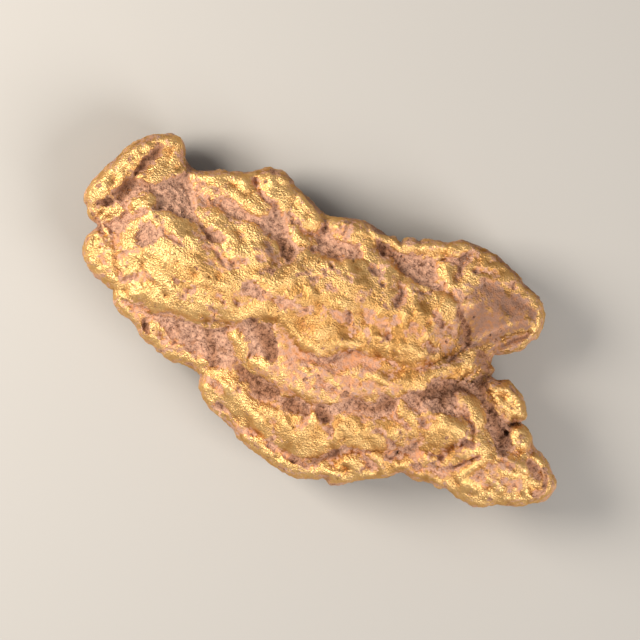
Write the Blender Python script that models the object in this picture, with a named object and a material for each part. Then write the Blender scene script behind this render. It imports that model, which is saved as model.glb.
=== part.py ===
"""A gold nugget: one water-worn lump of native gold, lying on its broad side.

The plan is drawn on a sheet 64 mm square, in tenths of a millimetre, with x to the right and
y down from its top left corner. The nugget's edge is two splines on that sheet, both from the
cleft at its left end to the notch at its right end. A spine joins the same two places, and
ribs cross it from one edge to the other. Every point of a ball is carried to a place on one of
the ribs, then raised to the nugget's upper skin or lowered to its underside. The finished lump
is turned so that its length runs along +X, and it stands on z = 0.
"""
import math

import bmesh
import bpy
import numpy as np

SHEET_STEP = 0.0001         # one step of the plan sheet, in metres: the nugget is 55 mm long
LEAN = 31.0                 # degrees from the sheet's x axis down to the nugget's length

STATIONS = 92               # ribs from the cleft to the notch
TOP_STEPS = 34              # steps across the upper skin
UNDER_STEPS = 18            # steps across the underside
EDGE_CROWDING = 6           # how closely the steps gather at the edge

RIM_LEVEL = 41              # height of the edge line above the ground
BROW_WIDTH = 21             # width of the quarter round from the edge to the upper skin
BROW_HEIGHT = 22            # height of that quarter round
CROWN_WIDTH = 85            # width over which the upper skin swells on from there
CROWN_HEIGHT = 26           # height of that swelling
KEEL_WIDTH = 26             # width of the quarter round from the edge to the underside
KEEL_DEPTH = 15             # depth of that quarter round
BELLY_WIDTH = 95            # width over which the underside swells on from there
BELLY_DEPTH = 17            # depth of that swelling
MEETING = 4                 # how sharply forms that meet run into each other
SMOOTHINGS = 3              # times the wear evens the heights out

UPPER_EDGE = [
    (97, 227), (97, 224), (90, 218), (88, 207), (85, 198), (89, 187), (100, 175), (114, 162),
    (128, 148), (140, 141), (152, 136), (168, 134), (177, 136), (183, 142), (185, 157),
    (191, 166), (199, 171), (222, 171), (243, 173), (257, 170), (270, 168), (284, 172),
    (294, 180), (294, 185), (301, 191), (310, 200), (321, 211), (328, 217), (344, 218),
    (361, 220), (372, 225), (386, 235), (394, 236), (400, 242), (404, 239), (414, 239),
    (420, 243), (425, 240), (448, 242), (463, 241), (487, 250), (501, 259), (518, 275),
    (526, 286), (538, 297), (543, 308), (543, 322), (537, 336), (523, 348), (502, 355),
    (494, 355), (491, 364)]
LOWER_EDGE = [
    (97, 227), (88, 236), (84, 250), (87, 262), (96, 275), (111, 286), (115, 290), (114, 300),
    (121, 314), (134, 324), (142, 337), (153, 345), (168, 358), (190, 366), (200, 374),
    (201, 379), (200, 388), (208, 406), (229, 424), (242, 441), (256, 453), (280, 469),
    (297, 477), (324, 477), (330, 483), (340, 484), (361, 479), (386, 477), (400, 471),
    (416, 479), (429, 482), (438, 487), (446, 488), (462, 500), (480, 507), (496, 503),
    (518, 505), (532, 502), (545, 500), (555, 486), (552, 475), (543, 457), (535, 450),
    (532, 442), (526, 426), (519, 423), (525, 420), (525, 410), (520, 396), (508, 382),
    (498, 381), (491, 376), (495, 370), (491, 364)]
# Each row is one rib: its end on the upper edge, its place on the spine, its lower end.
RIBS = [
    ((97, 227), (97, 227), (97, 227)),
    ((88, 207), (106, 230), (88, 236)),
    ((100, 175), (118, 236), (84, 250)),
    ((128, 148), (134, 246), (96, 275)),
    ((152, 136), (152, 256), (115, 290)),
    ((168, 134), (167, 262), (114, 300)),
    ((183, 142), (181, 267), (134, 324)),
    ((191, 166), (192, 270), (153, 345)),
    ((222, 171), (222, 280), (190, 366)),
    ((257, 170), (254, 290), (200, 388)),
    ((294, 185), (286, 299), (242, 441)),
    ((328, 217), (320, 310), (280, 469)),
    ((361, 220), (352, 319), (324, 477)),
    ((394, 236), (384, 328), (361, 479)),
    ((425, 240), (412, 336), (400, 471)),
    ((463, 241), (432, 341), (438, 487)),
    ((501, 259), (448, 345), (480, 507)),
    ((526, 286), (457, 347), (518, 505)),
    ((543, 308), (464, 349), (555, 486)),
    ((537, 336), (472, 351), (532, 442)),
    ((523, 348), (478, 353), (525, 410)),
    ((502, 355), (484, 355), (508, 382)),
    ((494, 355), (487, 358), (491, 376)),
    ((491, 364), (491, 364), (491, 364))]

# Broad masses: name, height, then the outline as (x, y, width of the shoulder inside it).
MASSES = {
    "main ridge": (15, [
        (113, 262, 31), (112, 244, 26), (120, 230, 20), (134, 220, 16), (152, 215, 15),
        (172, 214, 15), (188, 220, 15), (200, 232, 13), (212, 248, 20), (230, 260, 37),
        (256, 262, 44), (286, 264, 37), (318, 260, 24), (350, 261, 24), (380, 264, 24),
        (402, 272, 24), (440, 290, 33), (462, 302, 29), (460, 322, 20), (456, 342, 26),
        (440, 356, 29), (424, 366, 29), (404, 366, 26), (384, 358, 22), (366, 356, 16),
        (350, 352, 13), (330, 359, 13), (310, 356, 14), (294, 343, 26), (280, 329, 26),
        (262, 319, 13), (243, 323, 13), (218, 322, 13), (190, 317, 13), (160, 311, 13),
        (136, 306, 13), (118, 298, 15), (118, 280, 26)]),
    "right lobe": (13, [
        (458, 270, 22), (470, 256, 24), (488, 252, 26), (508, 260, 29), (524, 278, 29),
        (546, 296, 26), (552, 316, 26), (545, 331, 20), (530, 331, 13), (514, 333, 13),
        (500, 339, 13), (486, 347, 13), (474, 349, 18), (462, 340, 26), (456, 322, 29),
        (452, 298, 31), (450, 284, 26)]),
    "top rim": (9, [
        (192, 180, 15), (200, 160, 15), (228, 160, 15), (262, 158, 15), (290, 158, 15),
        (306, 180, 15), (334, 208, 15), (372, 208, 15), (394, 232, 15), (420, 230, 15),
        (452, 230, 15), (474, 236, 15), (482, 250, 15), (462, 257, 13), (444, 260, 13),
        (424, 257, 13), (404, 254, 13), (390, 248, 13), (378, 246, 13), (364, 246, 13),
        (350, 242, 13), (336, 240, 13), (326, 230, 13), (312, 232, 13), (298, 228, 13),
        (284, 214, 13), (272, 208, 13), (264, 219, 13), (250, 213, 13), (240, 204, 13),
        (228, 198, 15), (206, 202, 15)]),
    "terrace": (7, [
        (280, 338, 24), (296, 350, 24), (314, 362, 22), (336, 364, 22), (352, 358, 26),
        (378, 362, 26), (398, 370, 26), (414, 386, 13), (402, 395, 13), (372, 400, 13),
        (344, 401, 16), (318, 402, 16), (294, 397, 16), (281, 388, 18), (262, 374, 13),
        (250, 366, 13), (252, 356, 13), (266, 358, 13), (276, 358, 15)]),
    "lower ridge": (14, [
        (198, 384, 18), (206, 370, 20), (224, 368, 20), (240, 379, 14), (254, 396, 14),
        (276, 406, 15), (300, 412, 16), (316, 408, 13), (328, 419, 15), (350, 412, 20),
        (374, 420, 22), (396, 414, 20), (414, 414, 18), (432, 415, 20), (456, 414, 16),
        (471, 424, 15), (470, 438, 15), (450, 447, 15), (428, 451, 13), (404, 451, 13),
        (388, 449, 13), (366, 449, 13), (340, 450, 13), (322, 456, 13), (292, 453, 13),
        (270, 442, 15), (246, 427, 18), (222, 410, 18), (204, 402, 16)]),
    "bottom shelf": (7, [
        (240, 424, 13), (262, 434, 15), (286, 452, 13), (320, 458, 13), (350, 452, 13),
        (380, 450, 13), (410, 452, 15), (440, 454, 15), (456, 470, 15), (456, 500, 15),
        (430, 496, 15), (400, 484, 15), (340, 496, 15), (290, 488, 15), (250, 462, 15)]),
    "edge lumps": (9, [
        (484, 384, 13), (492, 372, 15), (512, 376, 15), (530, 396, 15), (532, 412, 15),
        (526, 422, 13), (512, 420, 13), (504, 412, 13), (492, 402, 13)]),
    "edge foot": (9, [
        (509, 428, 13), (520, 424, 13), (536, 426, 15), (540, 444, 15), (528, 450, 13),
        (511, 447, 13)]),
    "tail": (10, [
        (446, 478, 18), (454, 462, 18), (470, 448, 18), (488, 445, 18), (512, 452, 18),
        (534, 442, 18), (556, 456, 18), (564, 482, 18), (552, 508, 18), (512, 514, 18),
        (478, 514, 18), (456, 500, 18)])}
# Round-backed ridges: name, then (x, y, half width, height) along the back.
RIDGES = {
    "rolled lip": [(90, 207, 14, 12), (97, 193, 21, 16), (113, 177, 22, 16), (130, 160, 20, 15),
        (148, 147, 16, 14), (166, 140, 14, 11), (180, 146, 11, 9)],
    "lip bank": [(180, 152, 12, 7), (175, 162, 12, 8), (162, 172, 12, 8), (148, 178, 11, 7)],
    "dome lip": [(126, 250, 13, 14), (131, 232, 13, 16), (147, 219, 11, 17), (166, 219, 13, 19),
        (184, 228, 18, 21), (199, 244, 14, 19)],
    "left lobe": [(97, 238, 19, 9), (100, 256, 24, 12), (112, 273, 24, 14)],
    "finger ridge": [(200, 208, 11, 6), (214, 213, 14, 8), (229, 229, 16, 10), (244, 250, 21, 12)],
    "cross ridge": [(250, 230, 14, 8), (258, 244, 19, 10), (264, 260, 20, 12)],
    "rim finger": [(368, 240, 10, 9), (369, 254, 10, 10), (384, 268, 14, 11)],
    "nose": [(396, 386, 15, 10), (414, 384, 14, 12), (430, 376, 13, 15), (448, 370, 14, 16),
        (463, 366, 14, 17), (474, 355, 12, 15)],
    "left fringe": [(118, 303, 12, 7), (134, 316, 12, 6), (147, 336, 12, 6), (162, 346, 13, 7),
        (180, 354, 13, 7), (198, 364, 14, 9)],
    "spur": [(398, 401, 9, 8), (403, 413, 10, 11), (414, 424, 11, 14)],
    "hook ridge": [(455, 394, 9, 7), (464, 401, 10, 9), (475, 407, 12, 11), (478, 424, 12, 12),
        (481, 440, 11, 10), (488, 448, 9, 9)]}
# Swellings of the upper skin (+) and hollows worn into it (-), as (x, y, half width, height).
SWELLINGS = {
    "left crown": [(150, 268, 80, 5), (240, 300, 120, 6)],
    "middle crown": [(330, 325, 120, 6), (410, 335, 90, 5)],
    "lower crown": [(300, 430, 70, 3), (420, 440, 60, 2)],
    "lip hollow": [(166, 145, 8, -4), (157, 154, 11, -8), (147, 165, 12, -9), (137, 180, 13, -8),
        (124, 197, 11, -8), (108, 204, 9, -6)],
    "lip tongue": [(97, 213, 10, 4)],
    "crust nubs": [(135, 204, 8, 4), (150, 201, 9, 5)],
    "dome bowl": [(144, 236, 13, -8), (155, 233, 12, -6)],
    "channel": [(196, 219, 9, -4), (204, 230, 9, -9), (211, 239, 8, -8), (220, 238, 10, -4)],
    "upper trough": [(228, 208, 14, -4), (248, 220, 13, -4), (272, 226, 15, -4),
        (289, 248, 15, -8)],
    "upper trough right": [(332, 249, 15, -6), (352, 253, 12, -4)],
    "upper basin": [(384, 252, 10, -6), (398, 262, 14, -4), (428, 272, 24, -6), (410, 260, 16, -4)],
    "shoulder foot": [(352, 240, 9, 4), (360, 242, 8, 4)],
    "trough island": [(304, 257, 8, 4), (320, 257, 8, 4)],
    "rim knobs": [(256, 206, 9, 4)],
    "rim swell middle": [(272, 184, 15, 4), (284, 198, 13, 4)],
    "rim swell right": [(306, 206, 13, 4), (314, 218, 11, 4)],
    "main saddle": [(250, 288, 11, -4), (262, 296, 10, -4)],
    "main swell left": [(146, 258, 22, 4), (170, 270, 26, 4)],
    "left knuckles": [(126, 266, 12, 4), (140, 290, 15, 4)],
    "main swell middle": [(306, 285, 29, 4), (350, 295, 33, 3)],
    "saddle shoulder": [(286, 318, 15, 4)],
    "lower flank": [(324, 330, 22, 4)],
    "cross valley": [(402, 284, 8, -4), (396, 303, 8, -5)],
    "valley bank": [(404, 320, 9, 4)],
    "right mass knobs": [(442, 306, 11, 4)],
    "mass foot": [(467, 330, 8, -6), (458, 344, 8, -5)],
    "lobe nub": [(443, 271, 9, 6), (446, 281, 8, 8)],
    "lobe brow": [(500, 272, 18, 4), (522, 290, 13, 4), (537, 306, 10, 4)],
    "lobe dish": [(480, 318, 29, -4), (508, 312, 26, -5)],
    "lobe underside": [(499, 350, 9, 4), (518, 346, 9, 6), (534, 336, 9, 4)],
    "ledge foot": [(152, 320, 10, -4), (190, 330, 14, -4), (228, 334, 13, -4)],
    "fringe rib": [(170, 344, 8, 4)],
    "west nubs": [(240, 344, 8, 6)],
    "west pit": [(259, 326, 11, -6), (267, 341, 13, -8), (271, 355, 9, -6)],
    "lower trough": [(242, 369, 11, -4), (254, 382, 14, -8), (272, 391, 13, -6), (292, 402, 11, -4),
        (304, 408, 8, -4)],
    "peninsula pit": [(323, 410, 9, -6)],
    "lower trough right": [(350, 405, 12, -4), (380, 404, 13, -4), (412, 402, 12, -4)],
    "nose pit": [(430, 390, 10, -6), (444, 390, 13, -8), (464, 386, 10, -6), (440, 404, 13, -6)],
    "right gully": [(486, 360, 9, -4), (484, 376, 10, -6), (480, 388, 10, -6), (490, 406, 8, -4),
        (494, 420, 10, -8), (500, 438, 10, -8)],
    "notch foot": [(480, 368, 9, 4)],
    "ridge end": [(206, 384, 13, 4), (207, 395, 11, 4)],
    "fringe step": [(344, 453, 8, -4)],
    "ridge foot": [(252, 437, 10, 4), (260, 443, 10, 5)],
    "bottom bud": [(324, 467, 11, 6), (338, 474, 11, 6)],
    "bottom cup": [(348, 458, 9, 6), (358, 470, 10, 4)],
    "bottom knuckles": [(376, 456, 9, 4), (384, 464, 9, 4)],
    "bottom buds": [(398, 464, 9, 6), (410, 461, 9, 6)],
    "bottom crest": [(424, 457, 10, 6), (440, 463, 9, 4)],
    "bottom fringe right": [(434, 476, 10, 4), (446, 483, 10, 4)],
    "lump backs": [(410, 430, 11, 4)],
    "round lump back": [(430, 433, 15, 4), (452, 428, 15, 4)],
    "tail gully": [(462, 443, 8, -4)],
    "tail crest one": [(452, 458, 8, 4), (467, 451, 9, 6), (484, 448, 8, 6)],
    "tail crest two": [(458, 474, 8, 4), (472, 465, 9, 8), (486, 456, 9, 8)],
    "tail crest three": [(498, 455, 8, 4), (512, 460, 9, 6), (524, 470, 8, 4)],
    "tail dome": [(490, 480, 13, 8), (500, 486, 12, 6)],
    "tail rim": [(536, 457, 9, 4), (548, 472, 9, 5), (549, 488, 9, 4), (530, 498, 9, 4)],
    "edge knobs": [(492, 388, 10, 4), (506, 388, 9, 4), (516, 402, 10, 5)],
    "foot knobs": [(519, 443, 9, 4)]}
# Broad swellings of the underside, as (x, y, half width, depth).
BELLY = {
    "left belly": [(150, 268, 50, 14), (196, 296, 58, 16)],
    "hook belly": [(134, 192, 30, 12)],
    "upper belly": [(300, 244, 52, 10)],
    "middle belly": [(262, 396, 44, 12), (322, 404, 56, 17)],
    "right belly": [(440, 306, 48, 17), (488, 302, 40, 16)],
    "tail belly": [(440, 436, 40, 12), (496, 470, 36, 16)]}


def spline(points, places):
    """Catmull-Rom curve through the points, read at places counted in points from the first."""
    knots = np.array(points, dtype=float)
    padded = np.vstack([2 * knots[0] - knots[1], knots, 2 * knots[-1] - knots[-2]])
    start = np.clip(places.astype(int), 0, len(knots) - 2)
    part = (places - start)[:, None]
    before, first, last, after = (padded[start + offset] for offset in range(4))
    return 0.5 * (2 * first + (last - before) * part
                  + (2 * before - 5 * first + 4 * last - after) * part ** 2
                  + (3 * first - before - 3 * last + after) * part ** 3)


def nearest(x, y, points):
    """Distance to the nearest stretch of an open line, and the row of that line there.

    Each row is (x, y, values...); along a stretch the values run straight from end to end.
    """
    distance = np.full(x.shape, np.inf)
    row = np.zeros(x.shape + (len(points[0]),))
    for start, end in zip(points, points[1:]):
        step = np.subtract(end, start)
        length = step[0] ** 2 + step[1] ** 2
        along = ((x - start[0]) * step[0] + (y - start[1]) * step[1]) / length
        here = np.asarray(start) + np.clip(along, 0, 1)[:, None] * step
        away = np.hypot(x - here[:, 0], y - here[:, 1])
        closer = away < distance
        distance = np.where(closer, away, distance)
        row = np.where(closer[:, None], here, row)
    return distance, row


def inside(x, y, points):
    """True where a point has the closed outline around it: a ray to the left crosses it oddly."""
    within = np.zeros(x.shape, dtype=bool)
    for start, end in zip(points, points[1:]):
        if start[1] != end[1]:
            passes = (start[1] > y) != (end[1] > y)
            crossing = start[0] + (y - start[1]) * (end[0] - start[0]) / (end[1] - start[1])
            within ^= passes & (x < crossing)
    return within


def rounding(part):
    """Quarter of a circle: 0 at the edge, 1 and level where part reaches 1."""
    return np.sqrt(np.clip(1 - (1 - np.clip(part, 0, 1)) ** 2, 0, 1))


def mass(x, y, height, outline):
    """A flat-backed form: its height inside the outline, less towards it as a parabola."""
    closed = outline + outline[:1]
    distance, row = nearest(x, y, closed)
    short = 1 - np.clip(distance / row[:, 2], 0, 1)
    return np.where(inside(x, y, closed), height * (1 - short ** 2), 0)


def ridge(x, y, back, power):
    """A round-backed form: height times (1 - (distance / half width) squared) to a power."""
    if len(back) == 1:
        back = [back[0], tuple(np.add(back[0], (1, 0, 0, 0)))]
    distance, row = nearest(x, y, back)
    return row[:, 3] * np.clip(1 - (distance / row[:, 2]) ** 2, 0, 1) ** power


def relief(x, y):
    """Height of the upper skin's forms: masses and ridges run together, less the hollows."""
    raised = sum(mass(x, y, height, outline) ** MEETING for height, outline in MASSES.values())
    raised = raised + sum(ridge(x, y, back, 1) ** MEETING for back in RIDGES.values())
    return raised ** (1 / MEETING) + sum(ridge(x, y, line, 2) for line in SWELLINGS.values())


def rim_level(x, y):
    """Height of the edge line: two slow waves across the sheet lift and lower it."""
    return RIM_LEVEL + 5 * np.sin(x / 61 + 1.0) + 4 * np.sin(y / 47 + x / 110)


def upper_skin(x, y, edge_distance):
    """The edge line, raised by a narrow and a broad quarter round and by the forms on them."""
    brow = rounding(edge_distance / BROW_WIDTH)
    crown = rounding(edge_distance / CROWN_WIDTH)
    return rim_level(x, y) + (BROW_HEIGHT + relief(x, y)) * brow + CROWN_HEIGHT * crown


def underside(x, y, edge_distance):
    """The edge line, lowered in the same way over the keel and the belly."""
    keel = rounding(edge_distance / KEEL_WIDTH)
    belly = rounding(edge_distance / BELLY_WIDTH)
    swellings = sum(ridge(x, y, swelling, 1) for swelling in BELLY.values())
    return rim_level(x, y) - (KEEL_DEPTH + swellings) * keel - BELLY_DEPTH * belly


def rib_ends(edge, column, along):
    """Where the ribs end on one edge: the stations' places among the edge's points, in step."""
    places = [edge.index(rib[column]) for rib in RIBS]
    return spline(edge, np.interp(along, np.arange(len(RIBS)), places))


def station_places():
    """Where the stations lie among the ribs, spread by how far apart the ribs' ends are."""
    gaps = [math.dist(a[0], b[0]) + math.dist(a[2], b[2]) for a, b in zip(RIBS, RIBS[1:])]
    reached = np.concatenate([[0], np.cumsum(gaps)])
    return np.interp(np.linspace(0, reached[-1], STATIONS + 1), reached, np.arange(len(RIBS)))


def crowd(part):
    """From -1 to 1 at an even pace that slows to nothing at both ends."""
    power = EDGE_CROWDING
    return ((power + 1) * part - part * np.abs(part) ** power) / power


def plan_and_height(station, step):
    """Place on the sheet and height for every point of the ball, by its station and step."""
    along = station_places()[station]
    spine = np.array([rib[1] for rib in RIBS], dtype=float)
    columns = np.arange(len(RIBS))
    middle = np.stack([np.interp(along, columns, spine[:, axis]) for axis in (0, 1)], axis=1)
    upper, lower = rib_ends(UPPER_EDGE, 0, along), rib_ends(LOWER_EDGE, 2, along)

    on_top = step <= TOP_STEPS
    across = np.where(on_top, step / TOP_STEPS, 1 - (step - TOP_STEPS) / UNDER_STEPS)
    across = 0.5 + 0.5 * crowd(2 * across - 1)
    to_upper = np.linalg.norm(upper - middle, axis=1)
    to_lower = np.linalg.norm(lower - middle, axis=1)
    travelled = across * (to_upper + to_lower)
    first = np.clip(1 - travelled / np.maximum(to_upper, 1e-9), 0, 1)[:, None]
    second = np.clip((travelled - to_upper) / np.maximum(to_lower, 1e-9), 0, 1)[:, None]
    place = middle + first * (upper - middle) + second * (lower - middle)
    x, y = place.T

    edge = np.vstack([rib_ends(UPPER_EDGE, 0, station_places()),
                      rib_ends(LOWER_EDGE, 2, station_places())[-2::-1]])
    edge_distance, _ = nearest(x, y, edge)
    on_edge = (step == 0) | (step == TOP_STEPS)
    edge_distance = np.where(on_edge, 0, edge_distance)
    height = np.where(on_top, upper_skin(x, y, edge_distance), underside(x, y, edge_distance))
    return x, y, height


def add_nugget(collection):
    """The ball, with its poles at the cleft and the notch, carried onto the nugget."""
    mesh = bpy.data.meshes.new("nugget")
    bm = bmesh.new()
    around = TOP_STEPS + UNDER_STEPS
    bmesh.ops.create_uvsphere(bm, u_segments=around, v_segments=STATIONS, radius=1.0)
    ball = np.array([vert.co for vert in bm.verts])
    station = np.rint(np.arccos(np.clip(ball[:, 2], -1, 1)) / math.pi * STATIONS).astype(int)
    turn = np.arctan2(ball[:, 1], ball[:, 0]) / (2 * math.pi)
    step = np.rint(turn * around).astype(int) % around
    x, y, height = plan_and_height(station, step)

    lean = math.radians(LEAN)
    lengthways = x * math.cos(lean) + y * math.sin(lean)
    widthways = x * math.sin(lean) - y * math.cos(lean)
    places = np.stack([lengthways, widthways, height], axis=1) * SHEET_STEP
    places[:, :2] -= (places[:, :2].min(axis=0) + places[:, :2].max(axis=0)) / 2
    for vert, place in zip(bm.verts, places):
        vert.co = place
    skin = [vert for vert, off_edge in zip(bm.verts, step % TOP_STEPS > 0) if off_edge]
    for _ in range(SMOOTHINGS):
        bmesh.ops.smooth_vert(bm, verts=skin, factor=0.5, use_axis_z=True)
    for vert in skin:
        vert.co.z = max(vert.co.z, 0)
    bmesh.ops.triangulate(bm, faces=bm.faces, quad_method="SHORT_EDGE")
    bmesh.ops.recalc_face_normals(bm, faces=bm.faces)
    bm.to_mesh(mesh)
    bm.free()
    mesh.shade_smooth()
    nugget = bpy.data.objects.new("nugget", mesh)
    collection.objects.link(nugget)
    return nugget


def native_gold():
    """Native gold with a dull, hammered skin."""
    material = bpy.data.materials.new("native gold")
    material.use_nodes = True
    shader = material.node_tree.nodes["Principled BSDF"]
    shader.inputs["Base Color"].default_value = (0.72, 0.42, 0.12, 1)
    shader.inputs["Metallic"].default_value = 1.0
    shader.inputs["Roughness"].default_value = 0.42
    return material


for old in list(bpy.data.objects):
    bpy.data.objects.remove(old)
gold_nugget = bpy.data.collections.new("gold nugget")
bpy.context.scene.collection.children.link(gold_nugget)
add_nugget(gold_nugget).data.materials.append(native_gold())
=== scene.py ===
"""The look of a gold nugget: its skin at full detail, its gold and its crust, and a soft light.

The nugget is drawn on a sheet 64 mm square, in steps of a tenth of a millimetre, x to the right
and y down. Forms stand on that sheet as listed outlines and lines; the skin is a grid of
ribs that run across the nugget, over the top and back underneath. Lengths are in sheet steps
unless a comment says otherwise.
"""
import math

import bpy
import numpy as np
from mathutils import Matrix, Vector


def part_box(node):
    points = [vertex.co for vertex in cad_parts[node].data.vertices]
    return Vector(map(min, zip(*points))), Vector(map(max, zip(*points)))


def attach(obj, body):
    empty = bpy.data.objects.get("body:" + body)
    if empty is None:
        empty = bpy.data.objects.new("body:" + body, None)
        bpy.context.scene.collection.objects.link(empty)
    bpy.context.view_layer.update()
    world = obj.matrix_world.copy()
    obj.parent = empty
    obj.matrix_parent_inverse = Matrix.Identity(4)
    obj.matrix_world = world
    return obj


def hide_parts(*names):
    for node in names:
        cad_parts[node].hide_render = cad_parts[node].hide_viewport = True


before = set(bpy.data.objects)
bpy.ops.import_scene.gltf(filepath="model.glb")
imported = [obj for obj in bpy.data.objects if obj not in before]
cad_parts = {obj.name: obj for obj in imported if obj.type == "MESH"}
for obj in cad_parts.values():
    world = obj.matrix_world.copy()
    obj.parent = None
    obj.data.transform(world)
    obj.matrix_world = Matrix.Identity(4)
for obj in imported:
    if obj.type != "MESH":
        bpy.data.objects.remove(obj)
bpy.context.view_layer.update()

SHEET_STEP = 0.0001         # one step of the plan sheet, in metres
SHEET_SIDE = 640            # side of the sheet, which fills the camera's view
LEAN = 31.0                 # degrees from the sheet's x axis down to the nugget's length
STATIONS = 430              # ribs along the nugget
TOP_STEPS = 184             # steps of a rib over the upper skin
UNDER_STEPS = 48            # steps of a rib across the underside
EDGE_CROWDING = 6           # how closely the steps gather at the edge
UPPER_SKIN = np.s_[:, :TOP_STEPS + 1]       # the grid's points on the upper skin and the edge
UNDERSIDE = np.s_[:, TOP_STEPS + 1:]        # its points underneath

RIM_LEVEL = 41              # height of the edge line above the ground
RIM_SWINGS = (5, 4)         # heights of the two slow waves in that line
BROW_WIDTH = 7              # width of the quarter round from the edge to the upper skin
BROW_HEIGHT = 22            # height of that quarter round
CROWN_WIDTH = 85            # width over which the upper skin swells on from there
CROWN_HEIGHT = 32           # height of that swelling
CROWN_EASE = 1.5            # the power that lets it rise slowly from the edge
KEEL_WIDTH = 26             # width of the quarter round from the edge to the underside
KEEL_DEPTH = 15             # depth of that quarter round
BELLY_WIDTH = 95            # width over which the underside swells on from there
BELLY_DEPTH = 17            # depth of that swelling
MEETING = 4                 # how sharply forms that meet run into each other
BROAD_SHOULDER = 18         # width from which a mass's shoulder is a parabola
RIDGE_FULLNESS = 0.8        # power of a ridge's section: below 1, it is fuller than a parabola
SWELLING_FULLNESS = 2       # power of a swelling's section: its foot runs out flat
PLAIN_FULLNESS = 1          # power of a parabola, for the underside's swellings and the patina
KNOB_LENGTH = 0.1           # length of a ridge that is given as one row
SMOOTHINGS = 30             # rounds of averaging that find the skin around a point
REACH_LIMIT = 9.0           # how far from a patch's outline its reach is still measured

# Waves in the skin and its stains, as (height, grain size, seed).
FORM_BENDS_X = [(2.6, 24, 1), (1.3, 9, 2)]                  # how far the forms' lines wander
FORM_BENDS_Y = [(2.6, 24, 3), (1.3, 9, 4)]
WALL_WAVES = [(3.0, 10, 5)]                                 # knobs in a band along the edge
RAGGED_LINES = [(2.2, 15, 11), (1.8, 7.5, 12), (1, 4, 15)]  # how far the stains' lines wander
LOW_CRUST = [(12, 42, 13)]                                  # crust and film of the underside
LOW_FILM = [(12, 34, 14)]
LUMPS = [(3.0, 30, 31), (1.9, 14, 32)]
FINE_WAVES = [(0.4, 5.5, 33), (0.5, 3.0, 34)]
GRIT_WAVES = [(2.0, 6, 35), (0.8, 3.2, 36)]
EDGE_NICKS = [(1.3, 7, 37)]
# Points strewn through the skin, as (spacing, seed), and what they do.
DENTS = (8.5, 21)
SMALL_DENTS = (4.0, 22)
PORES = (17, 23)
BROAD_DENTS = (17, 24)
DENT_CREST = 0.9            # height of the crests between dents
SMALL_DENT_CREST = 0.5
BROAD_DENT_CREST = 2.2
PORE_DEPTH = 3.0
PORE_WIDTHS = (0.11, 0.04)  # where a pore begins and where it is deepest, in spacings
PIT_SLOPE = 1.2             # fall from a grain of grit, for each spacing of grains
CRUST_SINK = 0.8            # how far the crust lies below the gold at its outline
CRUST_SINK_DEEP = 1.8       # how much further it lies well inside it
CRUST_SINK_TURN = (0, 4)    # reaches over which it sinks so far
CRUST_TURN = (-0.6, 1.2)    # reaches between which gold gives way to crust

WALL_RISE = (1, 6)          # distances from the edge over which the wall's knobs come up
WALL_FALL = (26, 12)        # distances over which they die down again
LUMP_RISE = (0, 24)         # distances over which the lumps come up
EDGE_LUMPS = 0.4            # share of them that is left at the edge
GRIT_RISE = (1, 7)          # distances over which the grit comes up
NICK_FALL = (8, 1)          # distances over which the nicks in the edge die down
NOOK_CORE = 0.2             # share of a nook's radius that stays smooth

LOW_CRUST_LACK = 4          # how much of the underside is kept free of crust and of film
LOW_FILM_LACK = 3
EDGE_FILM = 1               # reach of the film at the edge, and how fast it ends inwards
EDGE_FILM_SLOPE = 0.5
FILM_LIMIT = 1.5            # greatest reach of the film on clean gold, and what dirt and painted shade add to it
DIRT_AND_SHADE_FILM = 3
CRUST_FILM = 0.7            # the film's reach around crust, for each step of the crust's reach
CRUST_FILM_START = 0.3
HOLLOW_FILM = 1.5           # what a step of hollow adds to the film's reach
HOLLOW_FILM_RANGE = (-1, 3)
DIRT_AND_SHADE_TURN = (-3, 7)         # reaches over which the dirt and painted shade thicken
LOW_DIRT_TURN = (2, 8)      # reaches of crust over which the dirt thickens underneath
LOW_EDGE_DARKENING = (18, 4)     # distances from the edge over which the underside darkens

TABLE_SIZE = 1024           # random directions or places in one table of waves or cells
WAVE_GAIN = 1.6             # brings gradient noise up to about -1 to 1
HASH_PRIMES = (73856093, 19349663, 83492791)    # spread the cells of a lattice over the table
HASH_SEED = 2654435761
HASH_STIR = 2246822519
HASH_BITS = 0xFFFFFFFF
TINY = 1e-9                 # keeps a length that is divided by above nothing

GOLD_DEEP = "B6884F"        # gold in low and dulled places
GOLD_LIGHT = "E0B87C"       # gold on rubbed crests
GOLD_RIM = "D8A468"         # gold seen at a glancing angle
FILM_PINK = "D49C74"
FILM_MAUVE = "B4968A"
CRUST_PINK = "D0A48A"
CRUST_GREY = "947466"
CRUST_DARK = "6C4C3E"
DIRT_AND_SHADE_BROWN = "C8BAAE"       # what dirt and painted shade let through
HOLLOW_TARNISH_AND_SHADE = "C8A28C"     # what the tarnish and painted shade in hollows let through
CARD_WHITE = "A9A8A6"

FLOOR_HALF = 0.6            # half the side of the floor, in metres
FLOOR_DROP = 0.00002        # how far it lies under the nugget's worn places, in metres
CAMERA_HEIGHT = 0.45        # from the nugget's edge line to the lens, in metres
SENSOR_WIDTH = 36           # width of the camera's sensor, in millimetres
NEAR_LIMIT = 0.01           # nearest thing the camera sees, in metres

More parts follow.
